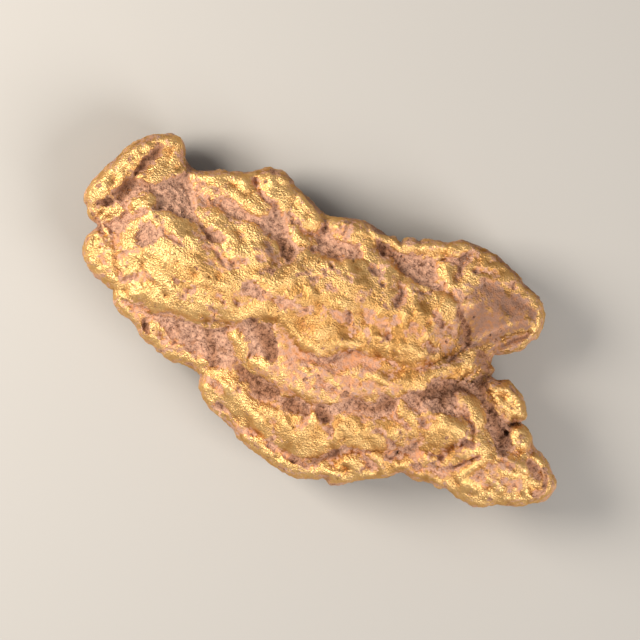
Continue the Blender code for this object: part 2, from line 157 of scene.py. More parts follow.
UPPER_EDGE = [
    (97, 227), (97, 224), (90, 218), (88, 207), (85, 198), (89, 187), (100, 175), (114, 162),
    (128, 148), (140, 141), (152, 136), (168, 134), (177, 136), (183, 142), (185, 157),
    (191, 166), (199, 171), (222, 171), (243, 173), (257, 170), (270, 168), (284, 172),
    (293, 180), (295, 185), (301, 191), (310, 200), (321, 211), (328, 217), (344, 218),
    (361, 220), (372, 225), (386, 235), (394, 236), (400, 242), (404, 239), (414, 239),
    (420, 243), (425, 240), (448, 242), (463, 241), (487, 250), (501, 259), (518, 275),
    (526, 286), (538, 297), (543, 308), (543, 322), (537, 336), (523, 348), (502, 355),
    (494, 355), (491, 364)]
LOWER_EDGE = [
    (97, 227), (88, 236), (84, 250), (87, 262), (96, 275), (111, 286), (115, 290), (114, 300),
    (121, 314), (134, 324), (142, 337), (153, 345), (168, 358), (190, 366), (200, 374),
    (201, 379), (200, 388), (208, 406), (229, 424), (242, 441), (256, 453), (280, 469),
    (297, 477), (324, 477), (330, 483), (340, 484), (361, 479), (386, 477), (400, 471),
    (416, 479), (429, 482), (438, 487), (446, 488), (462, 500), (480, 507), (496, 503),
    (518, 505), (532, 502), (545, 500), (555, 486), (552, 475), (543, 458), (537, 450),
    (532, 442), (526, 428), (521, 422), (525, 419), (525, 410), (520, 396), (508, 382),
    (498, 381), (491, 376), (495, 370), (491, 364)]
# Each row is one rib: its end on the upper edge, the two places where it bends, its lower end.
RIBS = [
    ((97, 227), (97, 227), (97, 227), (97, 227)),
    ((88, 207), (105, 227), (105, 227), (88, 236)),
    ((100, 175), (118, 236), (118, 236), (84, 250)),
    ((128, 148), (134, 246), (134, 246), (96, 275)),
    ((152, 136), (152, 256), (152, 256), (115, 290)),
    ((168, 134), (167, 262), (167, 262), (114, 300)),
    ((183, 142), (181, 267), (181, 267), (134, 324)),
    ((191, 166), (192, 270), (192, 270), (153, 345)),
    ((222, 171), (222, 280), (222, 280), (190, 366)),
    ((257, 170), (254, 290), (254, 290), (200, 388)),
    ((295, 185), (286, 299), (286, 299), (242, 441)),
    ((328, 217), (320, 310), (320, 310), (280, 469)),
    ((361, 220), (352, 319), (352, 319), (324, 477)),
    ((394, 236), (384, 328), (384, 328), (361, 479)),
    ((425, 240), (412, 336), (412, 336), (400, 471)),
    ((463, 241), (432, 341), (432, 341), (438, 487)),
    ((501, 259), (446, 341), (442, 352), (480, 507)),
    ((526, 286), (456, 341), (449, 361), (518, 505)),
    ((543, 308), (464, 341), (455, 371), (555, 486)),
    ((537, 336), (472, 341), (461, 376), (532, 442)),
    ((523, 348), (479, 343), (467, 381), (525, 410)),
    ((502, 355), (484, 347), (474, 383), (508, 382)),
    ((494, 355), (487, 352), (480, 380), (491, 376)),
    ((491, 364), (491, 364), (491, 364), (491, 364))]
# Tight nooks of the outline, as (x, y, radius): the skin's small waves die down there.
NOOKS = [(491, 364, 24), (519, 423, 12), (533, 447, 10), (295, 184, 10), (97, 227, 14),
         (401, 242, 7), (184, 160, 8)]
# Broad masses: height, then the outline as (x, y, width of the shoulder inside it).
MASSES = {
    "main ridge": (8, [
        (113, 262, 28), (112, 244, 24), (120, 230, 18), (134, 220, 15), (152, 215, 14),
        (172, 214, 14), (188, 220, 14), (200, 232, 12), (212, 248, 18), (230, 260, 34),
        (256, 262, 40), (286, 264, 26), (318, 260, 14), (350, 261, 12), (380, 264, 14),
        (402, 272, 22), (440, 290, 30), (462, 302, 26), (460, 322, 18), (456, 342, 24),
        (440, 356, 26), (424, 366, 26), (404, 366, 24), (384, 358, 20), (366, 356, 15),
        (350, 352, 12), (330, 359, 11), (310, 356, 13), (294, 343, 32), (280, 329, 36),
        (262, 319, 18), (243, 323, 9), (218, 322, 8), (190, 317, 8), (160, 311, 8), (136, 306, 9),
        (118, 298, 14), (118, 280, 24)]),
    "right lobe": (6.5, [
        (458, 270, 20), (470, 256, 22), (488, 252, 24), (508, 260, 26), (524, 278, 26),
        (546, 296, 24), (552, 316, 24), (545, 331, 18), (530, 331, 9), (514, 333, 8), (500, 339, 9),
        (486, 347, 10), (474, 349, 16), (462, 340, 24), (456, 322, 26), (452, 298, 28),
        (450, 284, 24)]),
    "top rim": (5, [
        (192, 180, 14), (200, 160, 14), (228, 160, 14), (262, 158, 14), (290, 158, 14),
        (306, 180, 14), (334, 208, 14), (372, 208, 14), (394, 232, 14), (420, 230, 14),
        (452, 230, 14), (474, 236, 14), (482, 250, 14), (462, 257, 10), (444, 260, 10),
        (424, 257, 10), (404, 254, 11), (390, 248, 12), (378, 246, 12), (364, 246, 11),
        (350, 242, 11), (336, 240, 12), (326, 230, 12), (312, 232, 11), (298, 228, 11),
        (284, 214, 11), (272, 208, 10), (264, 219, 9), (250, 213, 12), (240, 204, 12),
        (228, 198, 14), (206, 202, 14)]),
    "terrace": (3.5, [
        (280, 338, 22), (296, 350, 22), (314, 362, 20), (336, 364, 20), (352, 358, 24),
        (378, 362, 24), (398, 370, 24), (414, 386, 12), (402, 395, 10), (372, 400, 12),
        (344, 401, 15), (318, 402, 15), (294, 397, 15), (281, 388, 16), (262, 374, 12),
        (250, 366, 10), (252, 356, 10), (266, 358, 10), (276, 358, 14)]),
    "lower ridge": (7, [
        (198, 384, 16), (206, 370, 18), (224, 368, 18), (240, 379, 13), (254, 396, 13),
        (276, 406, 14), (300, 412, 15), (316, 408, 10), (328, 419, 14), (350, 412, 18),
        (374, 420, 20), (396, 414, 18), (414, 414, 16), (432, 415, 18), (456, 414, 15),
        (471, 424, 14), (470, 438, 14), (450, 447, 14), (428, 451, 12), (404, 451, 12),
        (388, 449, 12), (366, 449, 10), (340, 450, 9), (322, 456, 8), (292, 453, 8), (270, 442, 14),
        (246, 427, 16), (222, 410, 16), (204, 402, 15)]),
    "bottom shelf": (3.5, [
        (240, 424, 12), (262, 434, 14), (286, 452, 10), (320, 458, 10), (350, 452, 10),
        (380, 450, 12), (410, 452, 14), (440, 454, 14), (456, 470, 14), (456, 500, 14),
        (430, 496, 14), (400, 484, 14), (340, 496, 14), (290, 488, 14), (250, 462, 14)]),
    "edge lumps": (7, [
        (484, 384, 8), (492, 372, 10), (512, 376, 10), (530, 396, 10), (532, 412, 10),
        (526, 422, 6), (512, 420, 7), (504, 412, 8), (492, 402, 8)]),
    "edge foot": (6.5, [
        (509, 428, 7), (520, 424, 7), (536, 426, 10), (540, 444, 10), (528, 450, 9),
        (511, 447, 8)]),
    "tail": (5.5, [
        (446, 478, 16), (454, 462, 16), (470, 448, 16), (488, 445, 16), (512, 452, 16),
        (534, 442, 16), (556, 456, 16), (564, 482, 16), (552, 508, 16), (512, 514, 16),
        (478, 514, 16), (456, 500, 16)])}
# Round-backed ridges: name, then (x, y, half width, height) along the back.
RIDGES = {
    "rolled lip": [(90, 207, 13, 8), (97, 193, 17, 10), (113, 177, 17, 11), (130, 160, 16, 10),
        (148, 147, 14, 9), (166, 140, 12, 7), (180, 146, 10, 5)],
    "lip bank": [(180, 152, 11, 3), (175, 162, 11, 3.5), (162, 172, 11, 3.5), (148, 178, 10, 3)],
    "dome lip": [(126, 250, 12, 6), (131, 232, 14, 6.5), (147, 221, 15, 7), (166, 221, 15, 8.2),
        (184, 228, 16, 9.5), (199, 244, 13, 8.5)],
    "left lobe": [(97, 238, 17, 6), (100, 256, 22, 8), (112, 273, 22, 8)],
    "finger ridge": [(200, 208, 10, 2.5), (214, 213, 13, 3.5), (229, 229, 15, 4.5),
        (242, 250, 17, 5.5)],
    "cross ridge": [(250, 230, 12, 4), (256, 244, 14, 5), (258, 260, 16, 5.5)],
    "rim finger": [(368, 240, 9, 4), (369, 254, 9, 4.5), (384, 268, 13, 5)],
    "nose": [(396, 386, 14, 6), (414, 384, 13, 7.5), (430, 376, 12, 9), (448, 370, 13, 10),
        (463, 366, 13, 10), (474, 355, 11, 9)],
    "left fringe": [(118, 303, 11, 3), (134, 316, 11, 2.5), (147, 336, 11, 2.5), (162, 346, 12, 3),
        (180, 354, 12, 3), (198, 364, 13, 4)],
    "spur": [(398, 401, 7, 3.5), (403, 413, 9, 5), (414, 424, 10, 6)],
    "hook ridge": [(455, 394, 7, 4), (464, 401, 9, 6), (475, 407, 10, 7), (478, 424, 10, 7),
        (481, 440, 9, 6), (488, 448, 8, 5)]}
# Swellings of the upper skin (+) and hollows worn into it (-), as (x, y, half width, height).
SWELLINGS = {
    "left crown": [(172, 264, 75, 7.5), (240, 298, 110, 6)],
    "middle crown": [(330, 325, 120, 6), (410, 335, 90, 5)],
    "lower crown": [(300, 430, 70, 3), (420, 440, 60, 2)],
    "lip hollow": [(166, 145, 7, -1.6), (157, 154, 9, -2.8), (147, 165, 10, -3.2),
        (137, 180, 11, -2.4), (124, 194, 11, -1.6)],
    "lip floor": [(104, 203, 9, 2.5)],
    "lip tongue": [(97, 213, 11, 2), (112, 212, 9, 2.5)],
    "bank dimple": [(163, 165, 5, -1), (158, 170, 5, -1)],
    "crust nubs": [(136, 205, 10, 3), (151, 201, 11, 3.5)],
    "dome bowl": [(145, 237, 11, -3), (155, 234, 10, -2.4)],
    "dome groove": [(168, 233, 5, -1.3), (182, 244, 5, -1.3)],
    "channel": [(196, 219, 8, -1), (204, 230, 8, -2.6), (211, 239, 7, -2.8), (220, 238, 9, -1.4)],
    "upper trough": [(228, 208, 13, -1.8), (248, 220, 12, -1.8), (272, 226, 14, -2),
        (288, 246, 16, -2.2)],
    "upper trough right": [(312, 234, 9, -1.3), (332, 249, 14, -2.6), (352, 253, 11, -2)],
    "upper basin": [(380, 248, 8, -2.4), (398, 262, 13, -1.4), (428, 272, 22, -2),
        (410, 260, 15, -1.6)],
    "basin hole": [(424, 256, 2.5, -5)],
    "crease at the cleft": [(120, 231, 4, -1.3), (117, 248, 4, -1.3)],
    "cleft crack": [(100, 227, 4, -4), (106, 235, 4, -4)],
    "shoulder foot": [(352, 240, 8, 3), (360, 242, 7, 3)],
    "rim buds": [(212, 190, 8, 2.5), (228, 178, 8, 2), (206, 178, 7, 2), (286, 178, 8, 2)],
    "rim buds right": [(334, 224, 8, 2.5), (352, 226, 8, 2.5), (374, 232, 8, 2.5),
        (440, 247, 9, 2)],
    "trough tongue": [(294, 230, 7, 3), (300, 239, 9, 3.5), (309, 242, 8, 3)],
    "trough island": [(304, 257, 7, 3), (320, 257, 7, 3)],
    "rim facet": [(246, 188, 6, 3), (242, 180, 8, 2.5)],
    "ridge gap": [(234, 222, 5, -1.3), (242, 238, 5, -1.6), (250, 254, 5, -1.3)],
    "rim knobs": [(240, 200, 8, 2.5), (256, 206, 8, 4), (261, 212, 7, 3)],
    "rim knobs right": [(346, 231, 9, 3), (366, 236, 8, 2.5), (404, 245, 9, 2.5), (420, 249, 8, 2)],
    "rim gap": [(255, 181, 5, -2.6), (258, 192, 5, -2.6), (268, 200, 5, -2.6), (276, 206, 5, -2)],
    "rim seam": [(297, 184, 7, -1.6), (296, 196, 8, -1.8), (294, 214, 7, -1.6)],
    "rim seam right": [(324, 214, 6, -3), (321, 224, 6, -3), (320, 232, 6, -2)],
    "rim notch": [(392, 240, 6, -2), (380, 246, 6, -1.3)],
    "rim swell": [(220, 183, 14, 2), (236, 190, 10, 2)],
    "rim swell middle": [(274, 184, 18, 4), (280, 198, 16, 4)],
    "rim swell right": [(305, 205, 16, 3.5), (312, 220, 15, 4)],
    "main saddle": [(250, 288, 10, -1.6), (262, 296, 9, -1.6), (280, 303, 8, -1.3)],
    "main swell left": [(152, 256, 16, 3.5), (166, 268, 16, 3)],
    "left knuckles": [(126, 266, 11, 3), (140, 290, 13, 4), (160, 296, 10, 3)],
    "left buds": [(110, 256, 7, 2.5), (111, 270, 7, 2.5), (121, 289, 8, 3), (138, 270, 7, 2)],
    "crown buds": [(152, 276, 8, 2.5), (168, 284, 8, 2), (182, 292, 8, 2.5), (172, 303, 8, 2.5)],
    "crown buds right": [(196, 262, 9, 2), (208, 282, 8, 2.5), (226, 286, 8, 2), (232, 306, 9, 2.5),
        (202, 304, 8, 2.5)],
    "crown buds far": [(262, 276, 9, 2.5), (282, 284, 9, 2), (296, 270, 9, 2), (272, 288, 8, 2)],
    "left dints": [(132, 278, 6, -1.3), (150, 262, 5, -1), (155, 288, 5, -1)],
    "bright facets": [(216, 288, 6, 2), (210, 306, 5, 1.5)],
    "main swell middle": [(306, 285, 26, 2.5), (350, 295, 30, 2)],
    "main swell upper": [(354, 272, 24, 4), (380, 276, 24, 5)],
    "middle buds": [(312, 292, 8, 2), (326, 306, 8, 2), (340, 302, 7, 2), (352, 310, 7, 2)],
    "middle buds low": [(318, 334, 8, 2.5), (334, 326, 8, 2.5), (340, 342, 8, 2.5),
        (358, 344, 8, 2.5)],
    "mass buds": [(412, 304, 8, 2.5), (420, 320, 8, 2), (402, 314, 7, 2), (408, 336, 8, 2.5)],
    "mass buds right": [(446, 302, 8, 2.5), (424, 338, 7, 2.5), (440, 338, 7, 2.5),
        (418, 356, 8, 2.5)],
    "mass buds low": [(398, 352, 8, 2.5), (382, 340, 8, 2.5), (434, 356, 8, 2.5)],
    "saddle shoulder": [(262, 310, 10, 1.5), (284, 314, 12, 1.5)],
    "flank buds": [(283, 322, 7, 3), (296, 334, 8, 3), (306, 346, 8, 3), (318, 350, 7, 2.5)],
    "flank bud": [(272, 314, 7, 2.5), (268, 322, 6, 2)],
    "lower flank": [(324, 330, 20, 3), (310, 344, 12, 2), (342, 344, 12, 2)],
    "flank knuckles": [(368, 332, 12, 2), (386, 346, 12, 2)],
    "stain pan": [(372, 268, 6, -0.6)],
    "cross valley": [(402, 284, 7, -2), (403, 293, 6, -2), (396, 303, 7, -2.3)],
    "valley bank": [(411, 290, 10, 2), (407, 306, 8, 2), (404, 320, 8, 2.5)],
    "pink pan": [(374, 316, 9, -1), (390, 320, 8, -1)],
    "right mass knobs": [(442, 306, 10, 2.5), (412, 352, 14, 2), (436, 362, 10, 2)],
    "right mass scoop": [(433, 314, 6, -1.6), (440, 323, 5, -1.6)],
    "right mass dent": [(430, 346, 6, -1.3), (449, 331, 6, -1.3)],
    "mass foot": [(459, 318, 5, -0.6), (466, 332, 5, -0.8)],
    "lobe nub": [(443, 272, 12, 4.5), (447, 283, 10, 4.5)],
    "nub gap": [(457, 276, 6, -1)],
    "lobe brow": [(474, 260, 18, 2.5), (500, 270, 20, 3), (522, 288, 15, 3), (537, 306, 10, 2.5),
        (539, 322, 8, 2)],
    "lobe dish": [(480, 318, 26, -1), (512, 312, 24, -1.4)],
    "dish swell": [(500, 300, 14, 1), (496, 318, 16, 1.5)],
    "lobe lip": [(484, 348, 5, 1.5), (500, 338, 5, 2), (520, 331, 5, 2)],
    "lobe fold": [(492, 350, 4, -2.6), (506, 343, 6, -4), (524, 337, 6, -3.5)],
    "lobe underside": [(499, 350, 8, 3), (518, 346, 8, 4), (534, 336, 8, 3)],
    "ledge foot": [(136, 310, 6, -1.3), (152, 320, 9, -1.6), (190, 330, 13, -2),
        (228, 334, 12, -2)],
    "ledge post": [(154, 320, 5, 4), (156, 333, 6, 4)],
    "post hollow": [(147, 327, 6, -2.6)],
    "fringe rib": [(165, 330, 6, 2.5), (170, 344, 7, 3)],
    "west nubs": [(233, 334, 8, 3), (240, 344, 10, 4.5), (243, 355, 9, 3.5)],
    "west streak": [(212, 348, 5, -1.3), (213, 362, 5, -1.3)],
    "west pit": [(259, 326, 10, -2.6), (267, 341, 12, -3.2), (271, 355, 8, -2.6)],
    "lower trough": [(242, 370, 10, -1.8), (254, 382, 13, -2.6), (272, 391, 12, -2),
        (292, 402, 10, -1), (304, 408, 7, -1)],
    "peninsula": [(314, 412, 5, 3), (314, 422, 7, 2)],
    "peninsula stains": [(305, 418, 5, -2)],
    "peninsula pit": [(323, 410, 8, -1)],
    "lower trough right": [(350, 405, 11, -2), (380, 404, 12, -2), (412, 402, 11, -2)],
    "nose pit": [(430, 390, 9, -2.6), (444, 390, 12, -3.2), (464, 386, 9, -2.6),
        (440, 404, 12, -2.6)],
    "terrace creases": [(322, 384, 6, -1.3), (334, 390, 6, -1.3)],
    "terrace swells": [(300, 372, 18, 2), (362, 378, 18, 2), (392, 384, 12, 2)],
    "terrace buds": [(284, 374, 7, 2.5), (298, 360, 8, 3), (312, 370, 7, 2.5), (326, 372, 8, 2.5)],
    "terrace buds right": [(340, 376, 7, 2.5), (352, 368, 8, 2.5), (366, 372, 8, 3),
        (382, 378, 8, 3)],
    "terrace buds below": [(294, 386, 8, 3), (308, 392, 7, 2.5), (352, 388, 8, 2.5),
        (370, 390, 8, 3)],
    "terrace pin": [(338, 386, 2, -2.6), (343, 386, 2, -2.6)],
    "right gully": [(486, 360, 8, -2), (484, 376, 9, -2.6), (480, 388, 9, -2.6), (490, 406, 7, -2),
        (494, 420, 9, -3.2), (500, 438, 9, -3.2)],
    "notch foot": [(480, 368, 8, 3), (489, 371, 6, 3)],
    "pinhole": [(506, 432, 2.4, -20)],
    "slit": [(512, 426, 2.5, -9), (519, 423, 2.5, -9)],
    "ridge end": [(206, 384, 12, 3), (207, 395, 10, 3)],
    "ridge end pit": [(219, 406, 6, -2.6)],
    "ridge buds": [(231, 404, 6, 2.5), (235, 414, 6, 2)],
    "ridge back": [(228, 384, 14, 2), (250, 408, 14, 2), (280, 430, 16, 2), (306, 438, 14, 2)],
    "ridge knuckles": [(220, 382, 8, 2.5), (233, 398, 8, 2.5), (247, 402, 8, 2), (258, 420, 9, 3)],
    "ridge knuckles middle": [(266, 408, 7, 2), (284, 418, 8, 2.5), (294, 440, 9, 3),
        (308, 424, 8, 2.5)],
    "ridge knuckles right": [(322, 444, 8, 2.5), (344, 424, 8, 3), (352, 440, 8, 2.5),
        (368, 428, 8, 2.5)],
    "ridge valleys": [(275, 422, 4, -1.6), (275, 436, 4, -1.6)],
    "ridge back right": [(350, 430, 16, 2), (376, 436, 14, 2)],
    "oval pit": [(330, 427, 4, -1.3), (330, 434, 4, -1.3)],
    "fringe step": [(276, 450, 5, -1.3), (302, 459, 6, -2), (322, 458, 6, -2), (344, 453, 7, -2),
        (360, 451, 6, -1.3)],
    "ridge foot": [(252, 437, 9, 3), (260, 443, 9, 3.5)],
    "bottom bud": [(324, 467, 9, 5.5), (338, 474, 9, 5)],
    "bottom cup": [(348, 458, 8, 4.5), (357, 467, 8, 5)],
    "cup hollow": [(369, 462, 6, -3)],
    "cup back": [(341, 466, 8, 3)],
    "bottom knuckles": [(376, 456, 8, 3), (384, 464, 8, 2.5)],
    "bottom buds": [(398, 464, 8, 4), (410, 461, 8, 4)],
    "bottom crest": [(424, 457, 9, 4), (440, 463, 8, 3)],
    "bottom fringe right": [(420, 473, 8, 2), (434, 476, 9, 2.5), (446, 483, 9, 2.5)],
    "knuckle gap": [(392, 455, 5, -2), (388, 446, 4, -1.3)],
    "lump backs": [(392, 430, 9, 2), (410, 430, 10, 2.5)],
    "round lump back": [(430, 433, 14, 3), (452, 428, 14, 3)],
    "lump gaps": [(379, 430, 3, -1.3), (390, 444, 4, -2), (402, 448, 4, -1.3)],
    "lump gap": [(420, 423, 4, -2), (421, 442, 4, -2)],
    "tail gully": [(440, 453, 6, -2), (462, 443, 7, -2)],
    "tail crest one": [(452, 458, 6, 3), (467, 451, 7, 5), (484, 448, 7, 5)],
    "tail crest two": [(458, 474, 6, 4), (472, 465, 7, 6), (486, 456, 7, 6)],
    "tail crest three": [(498, 453, 6, 4), (512, 459, 7, 5), (524, 470, 6, 4)],
    "tail dome": [(490, 479, 10, 6), (500, 486, 9, 5)],
    "tail knuckles": [(470, 482, 8, 4), (478, 492, 8, 4), (512, 492, 9, 4)],
    "tail rim": [(536, 457, 8, 3), (548, 472, 8, 3.5), (549, 488, 8, 3), (530, 498, 8, 2.5)],
    "tail groove": [(452, 468, 4, -2), (470, 458, 4, -2)],
    "tail rim groove": [(540, 468, 4, -3), (543, 484, 4, -3), (532, 491, 4, -2)],
    "tail dish": [(532, 467, 9, -1.3), (520, 482, 10, -1)],
    "edge knobs": [(493, 387, 9, 5), (508, 389, 10, 5.5), (517, 402, 10, 6), (515, 413, 8, 4)],
    "edge heart": [(505, 405, 8, -0.6)],
    "edge seam": [(499, 384, 4, -1.3)],
    "foot knobs": [(517, 432, 10, 5), (518, 442, 12, 6.5)]}
# Broad swellings of the underside, as (x, y, half width, depth).
BELLY = {
    "left belly": [(150, 268, 50, 14), (196, 296, 58, 16)],
    "hook belly": [(134, 192, 30, 12)],
    "upper belly": [(300, 244, 52, 10)],
    "middle belly": [(262, 396, 44, 12), (322, 404, 56, 17)],
    "right belly": [(440, 306, 48, 17), (488, 302, 40, 16)],
    "tail belly": [(440, 436, 40, 12), (496, 470, 36, 16)]}
# Crust: outlines of the fields of grit, drawn closed.
CRUST_FIELDS = {
    "west": [
        (166, 143), (162, 151), (157, 158), (151, 164), (146, 168), (141, 173), (138, 178),
        (143, 182), (151, 184), (160, 182), (170, 178), (178, 177), (183, 172), (189, 168),
        (193, 172), (190, 178), (194, 186), (195, 194), (195, 203), (197, 211), (201, 220),
        (206, 227), (211, 230), (218, 230), (224, 236), (227, 242), (220, 243), (213, 244),
        (207, 238), (201, 230), (196, 224), (188, 219), (178, 216), (166, 213), (152, 213),
        (141, 217), (133, 222), (130, 228), (127, 234), (121, 236), (112, 235), (107, 230),
        (105, 224), (112, 221), (121, 218), (126, 211), (119, 205), (108, 205), (99, 205),
        (99, 202), (108, 200), (116, 197), (123, 190), (129, 183), (134, 177), (137, 171),
        (142, 163), (148, 157), (155, 151)],
    "dome bowl": [
        (137, 250), (136, 242), (137, 234), (139, 228), (144, 224), (151, 222), (156, 226),
        (158, 230), (163, 226), (169, 229), (167, 234), (162, 238), (158, 243), (152, 246),
        (144, 247), (140, 250)],
    "upper trough": [
        (213, 202), (219, 199), (227, 198), (236, 199), (241, 204), (246, 210), (253, 215),
        (261, 219), (267, 218), (271, 211), (274, 207), (279, 209), (282, 215), (287, 221),
        (294, 226), (303, 229), (312, 232), (318, 231), (322, 226), (326, 220), (329, 222),
        (330, 230), (334, 237), (341, 240), (350, 243), (356, 245), (360, 250), (365, 253),
        (364, 260), (352, 260), (343, 260), (335, 259), (326, 256), (318, 251), (308, 251),
        (300, 251), (298, 257), (293, 262), (287, 262), (282, 256), (279, 248), (276, 241),
        (270, 237), (263, 230), (257, 224), (247, 224), (238, 222), (229, 217), (222, 208)],
    "upper basin": [
        (376, 240), (380, 243), (386, 243), (391, 248), (396, 253), (404, 255), (412, 254),
        (418, 257), (426, 259), (436, 260), (446, 259), (456, 256), (466, 252), (473, 250),
        (471, 257), (466, 262), (466, 268), (461, 273), (455, 277), (450, 284), (442, 289),
        (432, 290), (424, 288), (417, 286), (413, 281), (409, 277), (403, 275), (398, 270),
        (394, 264), (388, 260), (380, 258), (377, 252)],
    "stain pan": [
        (366, 266), (371, 264), (378, 264), (384, 268), (384, 273), (377, 275), (369, 273)],
    "cross valley": [
        (398, 283), (403, 286), (406, 293), (403, 299), (398, 308), (392, 306), (389, 302),
        (394, 299), (397, 294)],
    "saddle": [
        (243, 283), (250, 281), (256, 282), (262, 288), (267, 295), (270, 301), (262, 301),
        (252, 297), (245, 294), (241, 289)],
    "scoop": [
        (430, 311), (436, 313), (441, 319), (444, 327), (438, 327), (433, 321)],
    "low west": [
        (148, 315), (158, 314), (170, 316), (182, 318), (192, 322), (204, 327), (216, 328),
        (230, 327), (243, 323), (252, 318), (262, 323), (275, 324), (275, 334), (277, 341),
        (280, 346), (279, 354), (273, 362), (266, 358), (258, 356), (249, 357), (244, 364),
        (236, 368), (228, 365), (220, 368), (212, 367), (206, 361), (198, 354), (188, 350),
        (180, 343), (171, 340), (167, 331), (161, 321), (152, 318)],
    "lower trough": [
        (232, 364), (243, 366), (250, 372), (258, 376), (268, 379), (277, 384), (281, 394),
        (290, 396), (299, 397), (305, 402), (312, 404), (320, 402), (330, 402), (338, 403),
        (346, 400), (352, 397), (360, 399), (368, 401), (374, 398), (378, 391), (386, 394),
        (393, 397), (401, 396), (407, 390), (418, 390), (425, 387), (430, 379), (438, 377),
        (448, 379), (458, 381), (468, 379), (475, 375), (482, 374), (485, 379), (482, 386),
        (483, 393), (486, 401), (492, 405), (496, 412), (503, 419), (512, 423), (507, 428),
        (508, 436), (511, 446), (508, 452), (501, 456), (495, 451), (491, 443), (488, 434),
        (486, 424), (486, 414), (484, 406), (480, 400), (476, 396), (469, 394), (461, 391),
        (455, 390), (454, 396), (458, 403), (464, 408), (467, 414), (468, 420), (461, 418),
        (452, 414), (442, 415), (434, 415), (427, 411), (420, 413), (413, 411), (406, 405),
        (400, 400), (395, 402), (394, 409), (389, 416), (380, 419), (372, 419), (364, 415),
        (356, 412), (349, 410), (341, 413), (335, 415), (331, 421), (324, 421), (319, 416),
        (317, 409), (311, 408), (309, 415), (304, 422), (300, 424), (302, 414), (296, 412),
        (288, 410), (280, 405), (272, 402), (262, 400), (255, 396), (250, 391), (246, 384),
        (240, 376)],
    "post hollow": [(143, 321), (147, 320), (150, 326), (152, 335), (148, 334), (143, 328)],
    "ridge end pit": [
        (213, 402), (219, 400), (224, 405), (226, 413), (221, 415), (216, 411), (212, 406)],
    "ridge foot": [(266, 437), (275, 440), (280, 447), (274, 451), (268, 446)],
    "oval pit": [(327, 426), (331, 424), (334, 430), (333, 438), (329, 437), (326, 431)]}
# Places where the gold shows through the fields of grit, drawn closed.
BARE_ISLANDS = {
    "crust nubs": [
        (128, 208), (129, 200), (136, 197), (142, 194), (152, 193), (159, 199), (158, 207),
        (149, 210), (141, 212), (133, 214)],
    "trough tongue": [
        (288, 224), (295, 224), (299, 231), (306, 235), (315, 237), (318, 245), (309, 250),
        (298, 249), (291, 240)],
    "trough island": [(298, 256), (304, 252), (314, 252), (325, 256), (327, 262), (300, 264)],
    "lobe nub": [
        (434, 272), (438, 265), (447, 263), (455, 267), (457, 274), (452, 280), (453, 288),
        (446, 291), (438, 284)],
    "west nub": [
        (228, 328), (237, 330), (246, 336), (250, 346), (250, 360), (241, 361), (235, 354),
        (232, 345), (227, 339)],
    "trough spur": [(396, 400), (400, 397), (405, 405), (412, 412), (404, 420), (396, 414)]}
